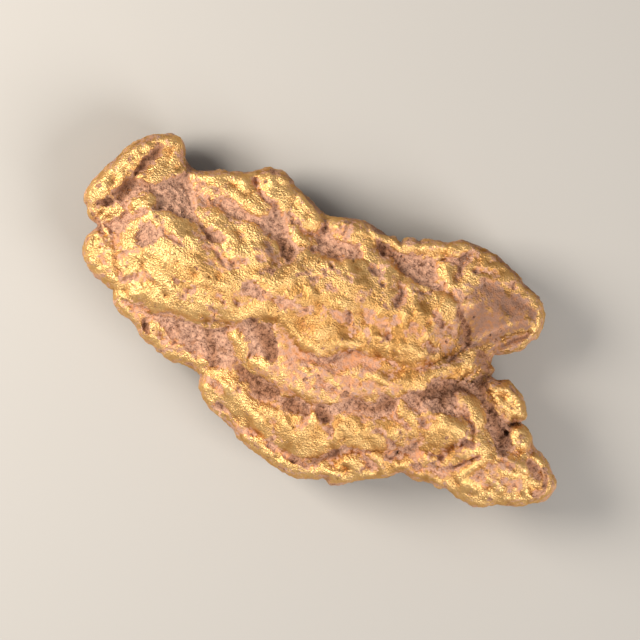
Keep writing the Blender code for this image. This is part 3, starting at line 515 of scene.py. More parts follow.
# Crust in seams and spots, as (x, y, half width) along each.
CRUST_SEAMS = {
    "dome streak": [(166, 234, 2.5), (174, 238, 3), (183, 245, 2)],
    "channel floor": [(204, 238, 3), (212, 246, 2), (220, 258, 2.5), (226, 266, 2.5)],
    "rim gap": [(255, 180, 3), (258, 190, 3), (262, 196, 2.5), (269, 201, 3), (276, 207, 3.5)],
    "rim stain": [(214, 187, 2), (218, 191, 3)],
    "rim seam": [(293, 222, 3), (300, 224, 2), (290, 214, 2)],
    "cleft": [(99, 227, 3), (106, 235, 2.5)],
    "saddle tail": [(268, 298, 2.5), (280, 301, 2.5), (294, 303, 2), (308, 308, 2)],
    "main spots one": [(124, 281, 2), (137, 278, 3)],
    "main spots two": [(190, 293, 3.5), (197, 290, 3)],
    "main spots three": [(212, 310, 3), (216, 314, 3)],
    "main spots four": [(225, 303, 2.5), (228, 307, 2)],
    "main spots five": [(235, 300, 2), (238, 304, 2)],
    "main spots six": [(258, 257, 2.5), (266, 261, 2.5)],
    "main spots seven": [(246, 262, 2), (232, 262, 2)],
    "ridge spot one": [(311, 276, 2), (315, 278, 3), (320, 276, 2)],
    "ridge spot two": [(346, 275, 1.5), (351, 279, 2.5)],
    "ridge spot three": [(379, 282, 2.5), (384, 285, 2.5)],
    "ridge spot four": [(347, 314, 3), (350, 323, 3.5)],
    "ridge spot five": [(366, 329, 2), (368, 334, 2.5)],
    "ridge spot six": [(385, 329, 2), (388, 336, 2.5)],
    "ridge spot seven": [(355, 329, 2), (352, 332, 2)],
    "ridge spot eight": [(331, 266, 1.5), (333, 270, 1.5)],
    "pale stain": [(428, 345, 3.5), (431, 349, 3.5)],
    "mass foot": [(456, 311, 2), (461, 321, 3), (467, 332, 4), (466, 342, 3)],
    # This crust along the upper edge is painted shade: a thin dark brown line where the edge falls
    # away from the light.
    "upper edge": [(186, 160, 1), (190, 168, 1.5), (199, 171, 1), (243, 173, 1), (257, 170, 1.5),
        (284, 172, 2), (301, 191, 2), (321, 211, 2), (344, 218, 1), (361, 220, 2),
        (386, 235, 2.5), (394, 236, 2), (400, 242, 1.5), (420, 243, 1.5), (448, 242, 1),
        (463, 241, 1), (487, 250, 2), (501, 259, 2.5), (518, 275, 2.5), (526, 286, 2),
        (538, 297, 1.5), (543, 308, 0.5)],
    "knob stain": [(448, 330, 2.5), (452, 335, 2.5)],
    "mass line": [(414, 291, 1.5), (428, 292, 1.5)],
    "nub gap": [(453, 277, 3), (458, 274, 3)],
    "brow spot": [(509, 285, 2.5), (512, 287, 2.5)],
    "brow spots": [(486, 272, 1.5), (472, 270, 2)],
    "shoulder spot": [(341, 226, 1.8), (341, 227, 1.8)],
    "shoulder stain": [(346, 222, 2), (352, 222, 2)],
    "nose stain": [(388, 360, 3), (393, 363, 3.5)],
    "nose spot": [(420, 367, 2), (421, 368, 2)],
    "nose crease": [(436, 366, 2), (446, 362, 2), (454, 356, 2)],
    "flank scarp": [(296, 346, 2), (304, 353, 2.5), (313, 357, 2.5), (323, 359, 3.5),
        (333, 359, 4.5), (340, 354, 2.5), (352, 352, 1.5), (364, 356, 1.5)],
    "terrace crease": [(320, 380, 2.5), (327, 386, 3), (336, 391, 2)],
    "terrace stain": [(308, 366, 2), (311, 370, 2.5)],
    "ledge line": [(120, 300, 1.5), (136, 307, 1.5), (150, 310, 1.5)],
    "fringe streaks": [(158, 330, 2), (163, 338, 3), (172, 342, 2)],
    "ridge end streak": [(208, 379, 2), (216, 384, 3), (222, 391, 1.5)],
    "ridge pit": [(238, 388, 2.5), (240, 389, 2.5)],
    "strip spots": [(250, 433, 2), (258, 435, 2)],
    "ridge seam": [(274, 420, 1.5), (274, 437, 1.5)],
    "lump seam": [(377, 428, 2.5), (384, 434, 2), (391, 444, 2.5)],
    "lump spot": [(405, 424, 3), (408, 427, 2)],
    "lump gap": [(421, 421, 3), (424, 426, 2)],
    "scarp line": [(286, 455, 2.5), (296, 459, 3.5), (306, 464, 3), (314, 462, 2)],
    "scarp line right": [(324, 456, 2), (334, 453, 3), (342, 449, 3), (352, 450, 1.5),
        (366, 449, 2)],
    "cup hollow": [(363, 456, 3.5), (369, 463, 4.5), (374, 466, 3)],
    "knuckle gap": [(391, 456, 3), (396, 453, 4)],
    "lump foot": [(405, 450, 3), (412, 447, 4), (417, 443, 2)],
    "crest foot": [(413, 466, 4), (420, 468, 3)],
    "crest trough": [(428, 452, 2), (440, 456, 3), (428, 464, 2), (440, 469, 4), (454, 465, 3),
        (462, 462, 2)],
    "hook foot": [(462, 441, 4), (470, 444, 3)],
    "hook gap": [(469, 424, 2.5), (472, 431, 2)],
    "tail line one": [(464, 459, 1.5), (476, 455, 1.5)],
    "tail line two": [(501, 459, 2), (507, 462, 2.5), (513, 468, 2)],
    "tail stain": [(528, 462, 3.5), (534, 468, 5), (537, 476, 3.5)],
    "tail rim groove": [(542, 468, 1.8), (545, 480, 2), (543, 490, 2), (533, 496, 1.5)],
    "tail spot": [(476, 476, 3), (482, 477, 3.5)],
    "tail dint": [(488, 464, 2), (491, 466, 2)],
    "neck": [(478, 353, 3.5), (488, 357, 3), (487, 374, 3)]}
# A thinner film of stain: its fields, drawn closed.
FILM_FIELDS = {
    "terrace": [
        (276, 326), (284, 333), (292, 338), (297, 345), (303, 352), (314, 358), (322, 362),
        (334, 362), (345, 357), (360, 357), (374, 359), (382, 364), (387, 369), (380, 374),
        (378, 382), (380, 391), (374, 399), (360, 399), (346, 400), (335, 403), (318, 403),
        (305, 402), (296, 397), (281, 396), (278, 386), (268, 380), (262, 372), (270, 362),
        (279, 354), (278, 342), (275, 333)],
    "lobe dish": [
        (462, 290), (470, 284), (478, 279), (487, 278), (494, 277), (500, 283), (503, 290),
        (510, 297), (517, 291), (523, 289), (527, 293), (532, 300), (536, 310), (537, 318),
        (534, 325), (527, 328), (517, 330), (508, 333), (498, 337), (488, 343), (478, 348),
        (466, 354), (458, 352), (456, 340), (459, 330), (457, 318), (455, 308), (456, 298)],
    "trough wall": [
        (265, 243), (272, 240), (279, 243), (282, 252), (286, 261), (278, 265), (268, 260),
        (262, 252)],
    "rim foot": [
        (198, 184), (206, 180), (214, 184), (212, 194), (206, 200), (214, 204), (212, 212),
        (202, 216), (196, 210), (194, 196)],
    "pink pan": [
        (365, 314), (370, 309), (377, 311), (385, 317), (394, 317), (400, 322), (393, 327),
        (382, 325), (373, 326), (366, 321)],
    "mass shoulder": [
        (404, 329), (412, 327), (420, 329), (430, 326), (440, 330), (452, 322), (456, 336),
        (450, 350), (444, 356), (440, 344), (430, 335), (420, 337), (410, 335)],
    "neck": [
        (474, 352), (484, 354), (491, 355), (490, 363), (493, 371), (487, 376), (478, 376),
        (472, 372), (474, 362)],
    "edge heart": [
        (495, 407), (500, 405), (505, 411), (508, 419), (507, 423), (500, 420), (496, 413)]}
# Film in streaks and spots, as (x, y, half width) along each.
FILM_SEAMS = {
    "lobe top": [(108, 238, 6), (118, 244, 6), (122, 236, 5)],
    "lobe spots": [(104, 256, 3), (110, 268, 3)],
    "channel bank": [(204, 240, 6), (214, 254, 7), (226, 268, 5)],
    "dome foot": [(126, 258, 4), (134, 254, 5)],
    "main stain": [(136, 279, 6), (146, 277, 4)],
    "saddle bank": [(272, 296, 6), (290, 304, 6), (306, 309, 4)],
    "middle stains": [(326, 314, 5), (342, 316, 6), (350, 324, 6)],
    "middle spots": [(330, 288, 3.5), (334, 291, 2)],
    "middle spots right": [(358, 297, 3.5), (364, 291, 3)],
    "valley spots": [(392, 280, 3), (394, 284, 2)],
    "shoulder": [(336, 228, 5), (346, 234, 6), (350, 227, 4)],
    "brow foot": [(457, 292, 4), (463, 296, 4)],
    "lobe rim": [(497, 348, 4), (512, 342, 5), (526, 337, 5)],
    "nose front": [(386, 376, 4), (394, 388, 4)],
    "west post": [(132, 310, 4), (142, 318, 4)],
    "fringe": [(160, 334, 5), (170, 342, 5), (184, 350, 4)],
    "pink strip": [(226, 416, 3), (236, 427, 4), (248, 434, 5), (262, 438, 4), (272, 446, 5)],
    "ridge end": [(208, 380, 4), (220, 388, 5)],
    "peninsula": [(306, 416, 5), (302, 424, 4)],
    "bottom cup": [(366, 462, 7), (374, 466, 5)],
    "crest trough": [(414, 450, 5), (430, 456, 5), (446, 468, 6), (458, 462, 4)],
    "hook": [(464, 440, 6), (474, 446, 4)],
    "tail middle": [(500, 462, 4), (516, 470, 5), (532, 468, 8)],
    "tail low": [(478, 476, 6), (516, 484, 5)]}
# Where the gold is dulled without a clear film, as (x, y, half width, strength).
PATINA = {
    "main middle": [(206, 278, 34, 0.7), (240, 296, 36, 0.8), (284, 306, 46, 0.8),
        (340, 316, 58, 1), (420, 330, 56, 1)],
    "main lower": [(300, 328, 36, 1), (330, 340, 34, 1)],
    "terrace": [(300, 380, 40, 0.5), (380, 384, 40, 0.7), (440, 374, 30, 1)],
    "lower ridge": [(276, 424, 26, 0.8), (320, 434, 34, 1), (384, 436, 36, 1), (440, 434, 44, 1)],
    "bottom": [(384, 462, 24, 0.8), (430, 470, 28, 1)],
    "top rim": [(310, 214, 22, 0.6), (350, 232, 22, 0.8), (410, 248, 22, 0.8)],
    "lobe brow": [(456, 254, 24, 0.8), (480, 262, 30, 1), (520, 284, 30, 1)]}
# Where the stain is darkest, and where shade is painted into pits, hollows and crevices, as (x, y,
# half width) along each.
DIRT_AND_SHADE_SEAMS = {
    "lobe dish": [(464, 338, 12), (472, 326, 14), (486, 314, 18), (508, 308, 18), (526, 314, 12)],
    "lobe dish top": [(474, 296, 10), (492, 290, 9), (508, 302, 9)],
    "dish foot": [(476, 345, 8), (492, 338, 8), (508, 330, 8), (524, 324, 7)],
    "lobe fold": [(492, 349, 3), (507, 343, 5), (524, 338, 4)],
    "neck": [(482, 353, 8), (488, 364, 8)],
    "mass foot": [(457, 314, 5), (466, 330, 7), (459, 345, 8), (444, 358, 6)],
    "basin corner": [(380, 247, 6), (392, 257, 6), (403, 273, 6)],
    "nub gap": [(454, 278, 4), (458, 271, 4)],
    "trough end": [(281, 243, 8), (288, 255, 9), (296, 262, 4)],
    "trough wall": [(267, 246, 6), (276, 258, 7)],
    "trough grains": [(328, 252, 5), (344, 257, 4)],
    "channel": [(202, 227, 4), (208, 236, 5), (214, 243, 4)],
    "lip hollow": [(99, 205, 3), (118, 199, 5), (130, 184, 6), (144, 165, 7), (162, 149, 7)],
    "bank foot": [(138, 177, 4), (148, 184, 5), (154, 192, 3)],
    "west pit": [(256, 322, 7), (266, 336, 9), (272, 356, 7)],
    "west streak": [(207, 328, 6), (212, 346, 6), (214, 364, 4)],
    "west grains": [(178, 322, 3), (179, 336, 3)],
    "post hollow": [(145, 322, 4), (150, 334, 4)],
    "lower trough": [(236, 366, 7), (248, 378, 10), (260, 389, 10), (274, 394, 8)],
    "lower trough middle": [(288, 403, 9), (304, 413, 6)],
    "peninsula pit": [(319, 408, 6), (327, 416, 7)],
    "lower trough right": [(356, 404, 6), (372, 409, 6), (388, 402, 7)],
    "nose pit": [(416, 402, 5), (428, 391, 7), (446, 388, 7), (442, 404, 5)],
    "nose pit right": [(458, 384, 6), (470, 392, 5)],
    "gully": [(478, 358, 10), (484, 368, 10), (483, 384, 8), (490, 406, 6), (496, 424, 6),
        (503, 446, 5)],
    "scarp": [(290, 457, 2), (304, 462, 3), (334, 453, 2)],
    "crevices": [(240, 334, 3), (248, 344, 3)],
    "tail stain": [(530, 463, 5), (536, 474, 5)],
    "tail rim": [(541, 468, 3), (545, 482, 3), (540, 494, 3), (528, 498, 3)],
    # The seams along the upper, lobe and lip edges are painted shade: a dark rim where the edge
    # turns away from the light.
    "upper edge": [(187, 165, 4), (199, 171, 3), (243, 174, 3), (270, 170, 4), (292, 180, 4),
        (303, 194, 4), (320, 211, 3), (344, 219, 3), (372, 227, 4), (392, 240, 4)],
    "lobe edge": [(424, 242, 3), (463, 243, 3), (487, 252, 5), (508, 268, 6), (524, 285, 5),
        (538, 298, 3)],
    "lip edge": [(112, 165, 3), (140, 143, 3), (168, 136, 3)],
    "cleft": [(98, 226, 3), (106, 235, 2.5)]}


def spline(points, places):
    """Catmull-Rom curve through the points, read at places counted in points from the first."""
    knots = np.array(points, dtype=float)
    padded = np.vstack([2 * knots[0] - knots[1], knots, 2 * knots[-1] - knots[-2]])
    start = np.clip(places.astype(int), 0, len(knots) - 2)
    part = (places - start)[:, None]
    before, first, last, after = (padded[start + offset] for offset in range(4))
    return 0.5 * (2 * first + (last - before) * part
                  + (2 * before - 5 * first + 4 * last - after) * part ** 2
                  + (3 * first - before - 3 * last + after) * part ** 3)


def nearest(x, y, points):
    """Distance to the nearest stretch of an open line, and the line's own row there.

    Each row is (x, y, values...); along a stretch the values run straight from end to end.
    """
    distance = np.full(x.shape, np.inf)
    row = np.zeros((len(points[0]),) + x.shape)
    for start, end in zip(points, points[1:]):
        step = np.subtract(end, start)
        length = step[0] ** 2 + step[1] ** 2
        part = np.clip(((x - start[0]) * step[0] + (y - start[1]) * step[1]) / length, 0, 1)
        away = np.hypot(x - start[0] - part * step[0], y - start[1] - part * step[1])
        closer = away < distance
        distance = np.where(closer, away, distance)
        for value in range(len(row)):
            row[value] = np.where(closer, start[value] + part * step[value], row[value])
    return distance, row


def inside(x, y, points):
    """True where a point has the closed outline around it: a ray to the left crosses it oddly."""
    within = np.zeros(x.shape, dtype=bool)
    for start, end in zip(points, points[1:]):
        if start[1] != end[1]:
            passes = (start[1] > y) != (end[1] > y)
            crossing = start[0] + (y - start[1]) * (end[0] - start[0]) / (end[1] - start[1])
            within ^= passes & (x < crossing)
    return within


def rounded(points):
    """The closed outline as a smooth curve: three places on each stretch of its spline."""
    closed = points[-2:] + points + points[:2]
    return spline(closed, np.arange(2, len(points) + 2.01, 1 / 3))


def smooth_step(low, high, value):
    """0 below low, 1 above high and 3t^2 - 2t^3 between them."""
    part = np.clip((value - low) / (high - low), 0, 1)
    return part * part * (3 - 2 * part)


def quarter_round(part):
    """Quarter of a circle: 0 at the edge, 1 and level where part reaches 1."""
    return np.sqrt(np.clip(1 - (1 - np.clip(part, 0, 1)) ** 2, 0, 1))


def mass(x, y, outline):
    """A flat-backed form, from 0 at its outline to 1 inside its shoulder.

    The shoulder is (1 - (1 - distance / width) squared) to a power: 0.5, a steep quarter round,
    where it is narrow, and 1, a parabola, where it is broad.
    """
    closed = rounded(outline)
    distance, row = nearest(x, y, closed)
    short = 1 - np.clip(distance / row[2], 0, 1)
    shoulder = (1 - short ** 2) ** np.clip(row[2] / BROAD_SHOULDER, 0.5, 1)
    return np.where(inside(x, y, closed), shoulder, 0)


def ridge(x, y, back, power):
    """A round-backed form: height times (1 - (distance / half width) squared) to a power.

    A back of one row is a round knob.
    """
    line = [back[0], tuple(np.add(back[0], (KNOB_LENGTH, 0, 0, 0)))] if len(back) == 1 else back
    distance, row = nearest(x, y, line)
    return row[3] * np.clip(1 - (distance / row[2]) ** 2, 0, 1) ** power


def reach(x, y, fields, seams):
    """How far inside a family of patches a point lies; below 0 outside them.

    It is the distance to a field's outline, or a seam's half width less the distance from its
    line, whichever is the greatest.
    """
    deepest = np.full(x.shape, -REACH_LIMIT)
    for outline in fields.values():
        closed = outline + outline[:1]
        distance, _ = nearest(x, y, closed)
        deepest = np.maximum(deepest, np.where(inside(x, y, closed), distance, -distance))
    for seam in seams.values():
        distance, row = nearest(x, y, seam)
        deepest = np.maximum(deepest, row[2] - distance)
    return np.minimum(deepest, REACH_LIMIT)


def lattice_hash(cell, seed):
    """A fixed random place in a table for every cell of a lattice and every seed."""
    first, second, third = (cell[..., axis] * HASH_PRIMES[axis] for axis in range(3))
    mixed = (first ^ second ^ third ^ (seed * HASH_SEED)) & HASH_BITS
    mixed = ((mixed ^ (mixed >> 15)) * HASH_STIR) & HASH_BITS
    return ((mixed ^ (mixed >> 13)) % TABLE_SIZE).astype(int)


def waves(points, size, seed):
    """Gradient noise of that grain size, from about -1 to 1.

    Every corner of a cubic lattice holds a random direction. The value is the corner's
    direction times the way from it, blended between the eight corners by 6t^5 - 15t^4 + 10t^3.
    """
    directions = np.random.default_rng(seed).normal(size=(TABLE_SIZE, 3))
    directions /= np.linalg.norm(directions, axis=1, keepdims=True)
    scaled = points / size
    cell = np.floor(scaled).astype(np.int64)
    part = scaled - cell
    ease = part ** 3 * (part * (part * 6 - 15) + 10)
    total = np.zeros(points.shape[:-1])
    for corner in np.ndindex(2, 2, 2):
        weight = np.prod(np.where(np.array(corner) == 1, ease, 1 - ease), axis=-1)
        direction = directions[lattice_hash(cell + corner, seed)]
        total += weight * ((part - corner) * direction).sum(axis=-1)
    return total * WAVE_GAIN


def swell(points, rows):
    """Waves of several sizes added up, each row being (height, grain size, seed)."""
    return sum(height * waves(points, size, seed) for height, size, seed in rows)


def cells(points, size, seed):
    """Distance to the nearest and second nearest of points strewn one to each lattice cell."""
    places = np.random.default_rng(seed).random((TABLE_SIZE, 3))
    scaled = points / size
    cell = np.floor(scaled).astype(np.int64)
    first = np.full(points.shape[:-1], np.inf)
    second = first.copy()
    for way in np.ndindex(3, 3, 3):
        near = cell + way - 1
        centre = near + places[lattice_hash(near, seed)]
        away = np.linalg.norm(scaled - centre, axis=-1)
        second = np.minimum(second, np.maximum(first, away))
        first = np.minimum(first, away)
    return first, second


def rim_level(x, y):
    """Height of the edge line: two slow waves across the sheet lift and lower it."""
    first, second = RIM_SWINGS
    return RIM_LEVEL + first * np.sin(x / 61 + 1.0) + second * np.sin(y / 47 + x / 110)


def relief(x, y):
    """Height of the upper skin's forms.

    Masses and ridges run together as the fourth root of the sum of their fourth powers, and
    the swellings and hollows are added to that.
    """
    raised = sum((height * mass(x, y, outline)) ** MEETING
                 for height, outline in MASSES.values())
    raised = raised + sum(ridge(x, y, back, RIDGE_FULLNESS) ** MEETING
                          for back in RIDGES.values())
    return raised ** (1 / MEETING) + sum(ridge(x, y, line, SWELLING_FULLNESS)
                                         for line in SWELLINGS.values())


def crowd(part):
    """From -1 to 1 at an even pace that slows to nothing at both ends."""
    power = EDGE_CROWDING
    return ((power + 1) * part - part * np.abs(part) ** power) / power


def rib_ends(edge, column, along):
    """Where the ribs end on one edge: the stations' places among the edge's points, in step."""
    places = [edge.index(rib[column]) for rib in RIBS]
    return spline(edge, np.interp(along, np.arange(len(RIBS)), places))


def rib_plan():
    """The plan of all ribs, as arrays of station by step, and the nugget's edge as a line.

    A rib runs straight from the upper edge to its first bend, its second and the lower edge; its
    steps are even but for the last few, which crowd to the edge. Underneath it runs back the
    same way.
    """
    gaps = [math.dist(a[0], b[0]) + math.dist(a[3], b[3]) for a, b in zip(RIBS, RIBS[1:])]
    reached = np.concatenate([[0], np.cumsum(gaps)])
    along = np.interp(np.linspace(0, reached[-1], STATIONS + 1), reached, np.arange(len(RIBS)))
    bends = np.array(RIBS, dtype=float)[:, 1:3].reshape(len(RIBS), 4)
    bends = np.stack([np.interp(along, np.arange(len(RIBS)), place) for place in bends.T], axis=1)
    upper, lower = rib_ends(UPPER_EDGE, 0, along), rib_ends(LOWER_EDGE, 3, along)

    over = np.linspace(-1, 1, TOP_STEPS + 1)
    under = np.linspace(1, -1, UNDER_STEPS + 1)[1:-1]
    across = 0.5 + 0.5 * crowd(np.concatenate([over, under]))
    stretches = np.diff([upper, bends[:, :2], bends[:, 2:], lower], axis=0)
    lengths = np.linalg.norm(stretches, axis=2)[..., None]
    travelled = across * lengths.sum(axis=0)
    plan = np.repeat(upper[:, None], len(across), axis=1)
    for stretch, length in zip(stretches, lengths):
        part = np.clip(travelled / np.maximum(length, TINY), 0, 1)
        plan += part[..., None] * stretch[:, None]
        travelled = travelled - length
    return plan, np.vstack([upper, lower[-2::-1]])


def outward(places):
    """Unit normals of the grid: the cross product of the ways to its next station and step."""
    along = np.gradient(places, axis=0)
    around = np.roll(places, -1, axis=1) - np.roll(places, 1, axis=1)
    normal = np.cross(along, around)
    return normal / np.maximum(np.linalg.norm(normal, axis=-1, keepdims=True), TINY)


def hollowness(places):
    """How far each point lies below the skin around it; below 0 on a bump.

    The skin around it is the grid averaged again and again with its neighbours, each round
    as (before + 2 here + after) / 4 both ways.
    """
    around = places.copy()
    for _ in range(SMOOTHINGS):
        around = (np.roll(around, 1, axis=1) + 2 * around + np.roll(around, -1, axis=1)) / 4
        around[1:-1] = (around[:-2] + 2 * around[1:-1] + around[2:]) / 4
    return ((around - places) * outward(places)).sum(axis=-1)


def skin_height(x, y, edge_distance):
    """Height of the smooth skin above the ground.

    The upper skin is the edge line, plus the brow's height and the forms, both times a quarter
    round, plus the crown. The crown rises as 1 - (1 - t) squared, where t is the distance from
    the edge over the crown's width, to a power. A band along the edge has knobs of its own. The
    underside is the edge line less the keel's and the belly's quarter rounds.
    """
    height = rim_level(x, y)
    top, below = edge_distance[UPPER_SKIN], edge_distance[UNDERSIDE]
    sheet = np.stack([x, y, np.zeros(x.shape)], axis=-1)
    bend_x, bend_y = swell(sheet, FORM_BENDS_X), swell(sheet, FORM_BENDS_Y)
    forms = relief((x + bend_x)[UPPER_SKIN], (y + bend_y)[UPPER_SKIN])
    height[UPPER_SKIN] += (BROW_HEIGHT + forms) * quarter_round(top / BROW_WIDTH)
    short = 1 - np.clip(top / CROWN_WIDTH, 0, 1) ** CROWN_EASE
    height[UPPER_SKIN] += CROWN_HEIGHT * (1 - short ** 2)
    wall = smooth_step(*WALL_RISE, top) * smooth_step(*WALL_FALL, top)
    height[UPPER_SKIN] += wall * swell(sheet[UPPER_SKIN], WALL_WAVES)

    swellings = sum(ridge(x[UNDERSIDE], y[UNDERSIDE], line, PLAIN_FULLNESS)
                    for line in BELLY.values())
    height[UNDERSIDE] -= (KEEL_DEPTH + swellings) * quarter_round(below / KEEL_WIDTH)
    height[UNDERSIDE] -= BELLY_DEPTH * quarter_round(below / BELLY_WIDTH)
    return height


def stains(places, edge_distance):
    """Crust, film, dirt with painted shade, and patina, as numbers at every point of the grid.

    Crust and film are reaches into their patches, made ragged by waves. Bare islands are taken
    out of the crust. The film also follows the edge and goes a little past the crust, and it
    is thin where there is neither dirt nor painted shade. Dirt, partly painted shade in pits,
    hollows and along the top edges, and patina go from 0 to 1. Underneath, waves alone say
    where crust and film lie; the dirt follows the crust, and the colour darkens near the edge.
    """
    x, y = places[..., 0][UPPER_SKIN], places[..., 1][UPPER_SKIN]
    ragged = swell(places, RAGGED_LINES)
    crust, film, dirt_and_shade, patina = np.zeros((4,) + places.shape[:-1])
    crust[UPPER_SKIN] = np.minimum(reach(x, y, CRUST_FIELDS, CRUST_SEAMS),
                                   -reach(x, y, BARE_ISLANDS, {}))
    film[UPPER_SKIN] = reach(x, y, FILM_FIELDS, FILM_SEAMS)
    dulled = sum(ridge(x, y, line, PLAIN_FULLNESS) for line in PATINA.values())
    patina[UPPER_SKIN] = np.minimum(dulled, 1)
    crust[UNDERSIDE] = swell(places[UNDERSIDE], LOW_CRUST) - LOW_CRUST_LACK
    film[UNDERSIDE] = swell(places[UNDERSIDE], LOW_FILM) - LOW_FILM_LACK
    film = np.maximum(film, EDGE_FILM - EDGE_FILM_SLOPE * edge_distance)
    crust = crust + ragged
    # On the upper skin the dirt is partly painted shade: darkening in pits, hollows, crevices and
    # along the top edges.
    dirt_and_shade[UPPER_SKIN] = smooth_step(*DIRT_AND_SHADE_TURN, reach(x, y, {}, DIRT_AND_SHADE_SEAMS) + ragged[UPPER_SKIN])
    dirt_and_shade[UNDERSIDE] = np.maximum(smooth_step(*LOW_DIRT_TURN, crust[UNDERSIDE]),
                                 smooth_step(*LOW_EDGE_DARKENING, edge_distance[UNDERSIDE]))
    film = np.maximum(np.minimum(film, FILM_LIMIT + DIRT_AND_SHADE_FILM * dirt_and_shade) + ragged,
                      CRUST_FILM * crust + CRUST_FILM_START)
    return crust, film, dirt_and_shade, patina


def skin_moves(places, crust, edge_distance):
    """How far each point moves outwards along its normal, for the small forms of the skin.

    Gold has dents, whose crests are the distance to the second nearest of the strewn points
    less that to the nearest, and fine waves. Crust lies lower and has waves of grit and strewn
    grains, from which it falls with the distance to the nearest. Both have lumps, pores, and
    nicks in the edge. In a nook of the outline all of this dies down.
    """
    grit_share = smooth_step(*CRUST_TURN, crust)
    first, second = cells(places, *DENTS)
    small_first, small_second = cells(places, *SMALL_DENTS)
    pore, _ = cells(places, *PORES)
    broad_first, broad_second = cells(places, *BROAD_DENTS)
    lumps = swell(places, LUMPS)
    dents = (BROAD_DENT_CREST * (broad_second - broad_first) + DENT_CREST * (second - first)
             + SMALL_DENT_CREST * (small_second - small_first))
    fine = swell(places, FINE_WAVES)
    grit = (swell(places, GRIT_WAVES) - PIT_SLOPE * small_first - CRUST_SINK
            - CRUST_SINK_DEEP * smooth_step(*CRUST_SINK_TURN, crust))
    pores = -PORE_DEPTH * smooth_step(*PORE_WIDTHS, pore)
    lumps *= EDGE_LUMPS + (1 - EDGE_LUMPS) * smooth_step(*LUMP_RISE, edge_distance)
    nicks = swell(places, EDGE_NICKS) * smooth_step(*NICK_FALL, edge_distance)
    grit *= smooth_step(*GRIT_RISE, edge_distance)
    moves = lumps + (1 - grit_share) * (dents + fine) + grit_share * grit + pores + nicks
    for nook_x, nook_y, radius in NOOKS:
        away = np.hypot(places[..., 0] - nook_x, places[..., 1] - nook_y)
        moves *= smooth_step(NOOK_CORE, 1, away / radius)
    return moves


def nugget_skin():
    """The whole skin, as places by station and step in sheet steps, and its stains and painted
    shade.

    The ribs' plan is lifted to the smooth skin's height, every point is moved along its normal
    by the small forms, and what comes out below the ground is worn flat on it.
    """
    plan, edge = rib_plan()
    x, y = plan[..., 0], plan[..., 1]
    edge_distance, _ = nearest(x, y, edge)
    edge_distance[:, [0, TOP_STEPS]] = 0
    places = np.stack([x, y, skin_height(x, y, edge_distance)], axis=-1)
    crust, film, dirt_and_shade, patina = stains(places, edge_distance)
    moves = skin_moves(places, crust, edge_distance)
    places = places + moves[..., None] * outward(places)
    places[..., 2] = np.maximum(places[..., 2], 0)
    hollow = hollowness(places)
    film = film + HOLLOW_FILM * np.clip(hollow, *HOLLOW_FILM_RANGE)
    return places, {"crust": crust, "film": film, "dirt_and_shade": dirt_and_shade, "hollow": hollow,
                    "patina": patina}


def to_ground(places):
    """Sheet steps to metres: x and y turned so that the length lies along +X."""
    lean = math.radians(LEAN)
    lengthways = places[..., 0] * math.cos(lean) + places[..., 1] * math.sin(lean)
    widthways = places[..., 0] * math.sin(lean) - places[..., 1] * math.cos(lean)
    return np.stack([lengthways, widthways, places[..., 2]], axis=-1) * SHEET_STEP


def grid_mesh(name, places, attributes):
    """A closed mesh from a grid of station by step, whose first and last stations are poles.

    The sheet's y runs down, so its turn to the ground mirrors the grid: each face goes round
    by the next step first and then by the next station, which makes it point outwards.
    """
    rows, around = places.shape[:2]
    body = places[1:-1].reshape(-1, 3)
    verts = np.vstack([places[0, :1], body, places[-1, :1]])
    index = 1 + np.arange(len(body)).reshape(rows - 2, around)
    beside = np.roll(index, -1, axis=1)
    quads = np.stack([index[:-1], beside[:-1], beside[1:], index[1:]], axis=-1).reshape(-1, 4)
    first = np.stack([np.zeros_like(index[0]), beside[0], index[0]], axis=-1)
    last = np.stack([np.full_like(index[0], len(verts) - 1), index[-1], beside[-1]], axis=-1)
    mesh = bpy.data.meshes.new(name)
    mesh.from_pydata(verts.tolist(), [], quads.tolist() + first.tolist() + last.tolist())
    for key, grid in attributes.items():
        values = np.concatenate([grid[0, :1], grid[1:-1].ravel(), grid[-1, :1]])
        mesh.attributes.new(key, "FLOAT", "POINT").data.foreach_set("value", values)
    mesh.shade_smooth()
    return mesh


def linear(hex_colour):
    """An sRGB colour such as E0B060 as linear red, green, blue and full alpha."""
    values = np.array([int(hex_colour[at:at + 2], 16) for at in (0, 2, 4)]) / 255
    low, high = values / 12.92, ((values + 0.055) / 1.055) ** 2.4
    return (*np.where(values <= 0.04045, low, high), 1)


def add(tree, kind, values=(), links=(), **settings):
    """A node of that kind with its settings; values and links are (input, value or source)."""
    node = tree.nodes.new(kind)
    for name, value in settings.items():
        setattr(node, name, value)
    for socket, value in values:
        node.inputs[socket].default_value = value
    for socket, source in links:
        tree.links.new(source, node.inputs[socket])
    return node


def millimetres(size):
    """The scale of a pattern on metre coordinates whose grains are that many millimetres."""
    return 1000 / size


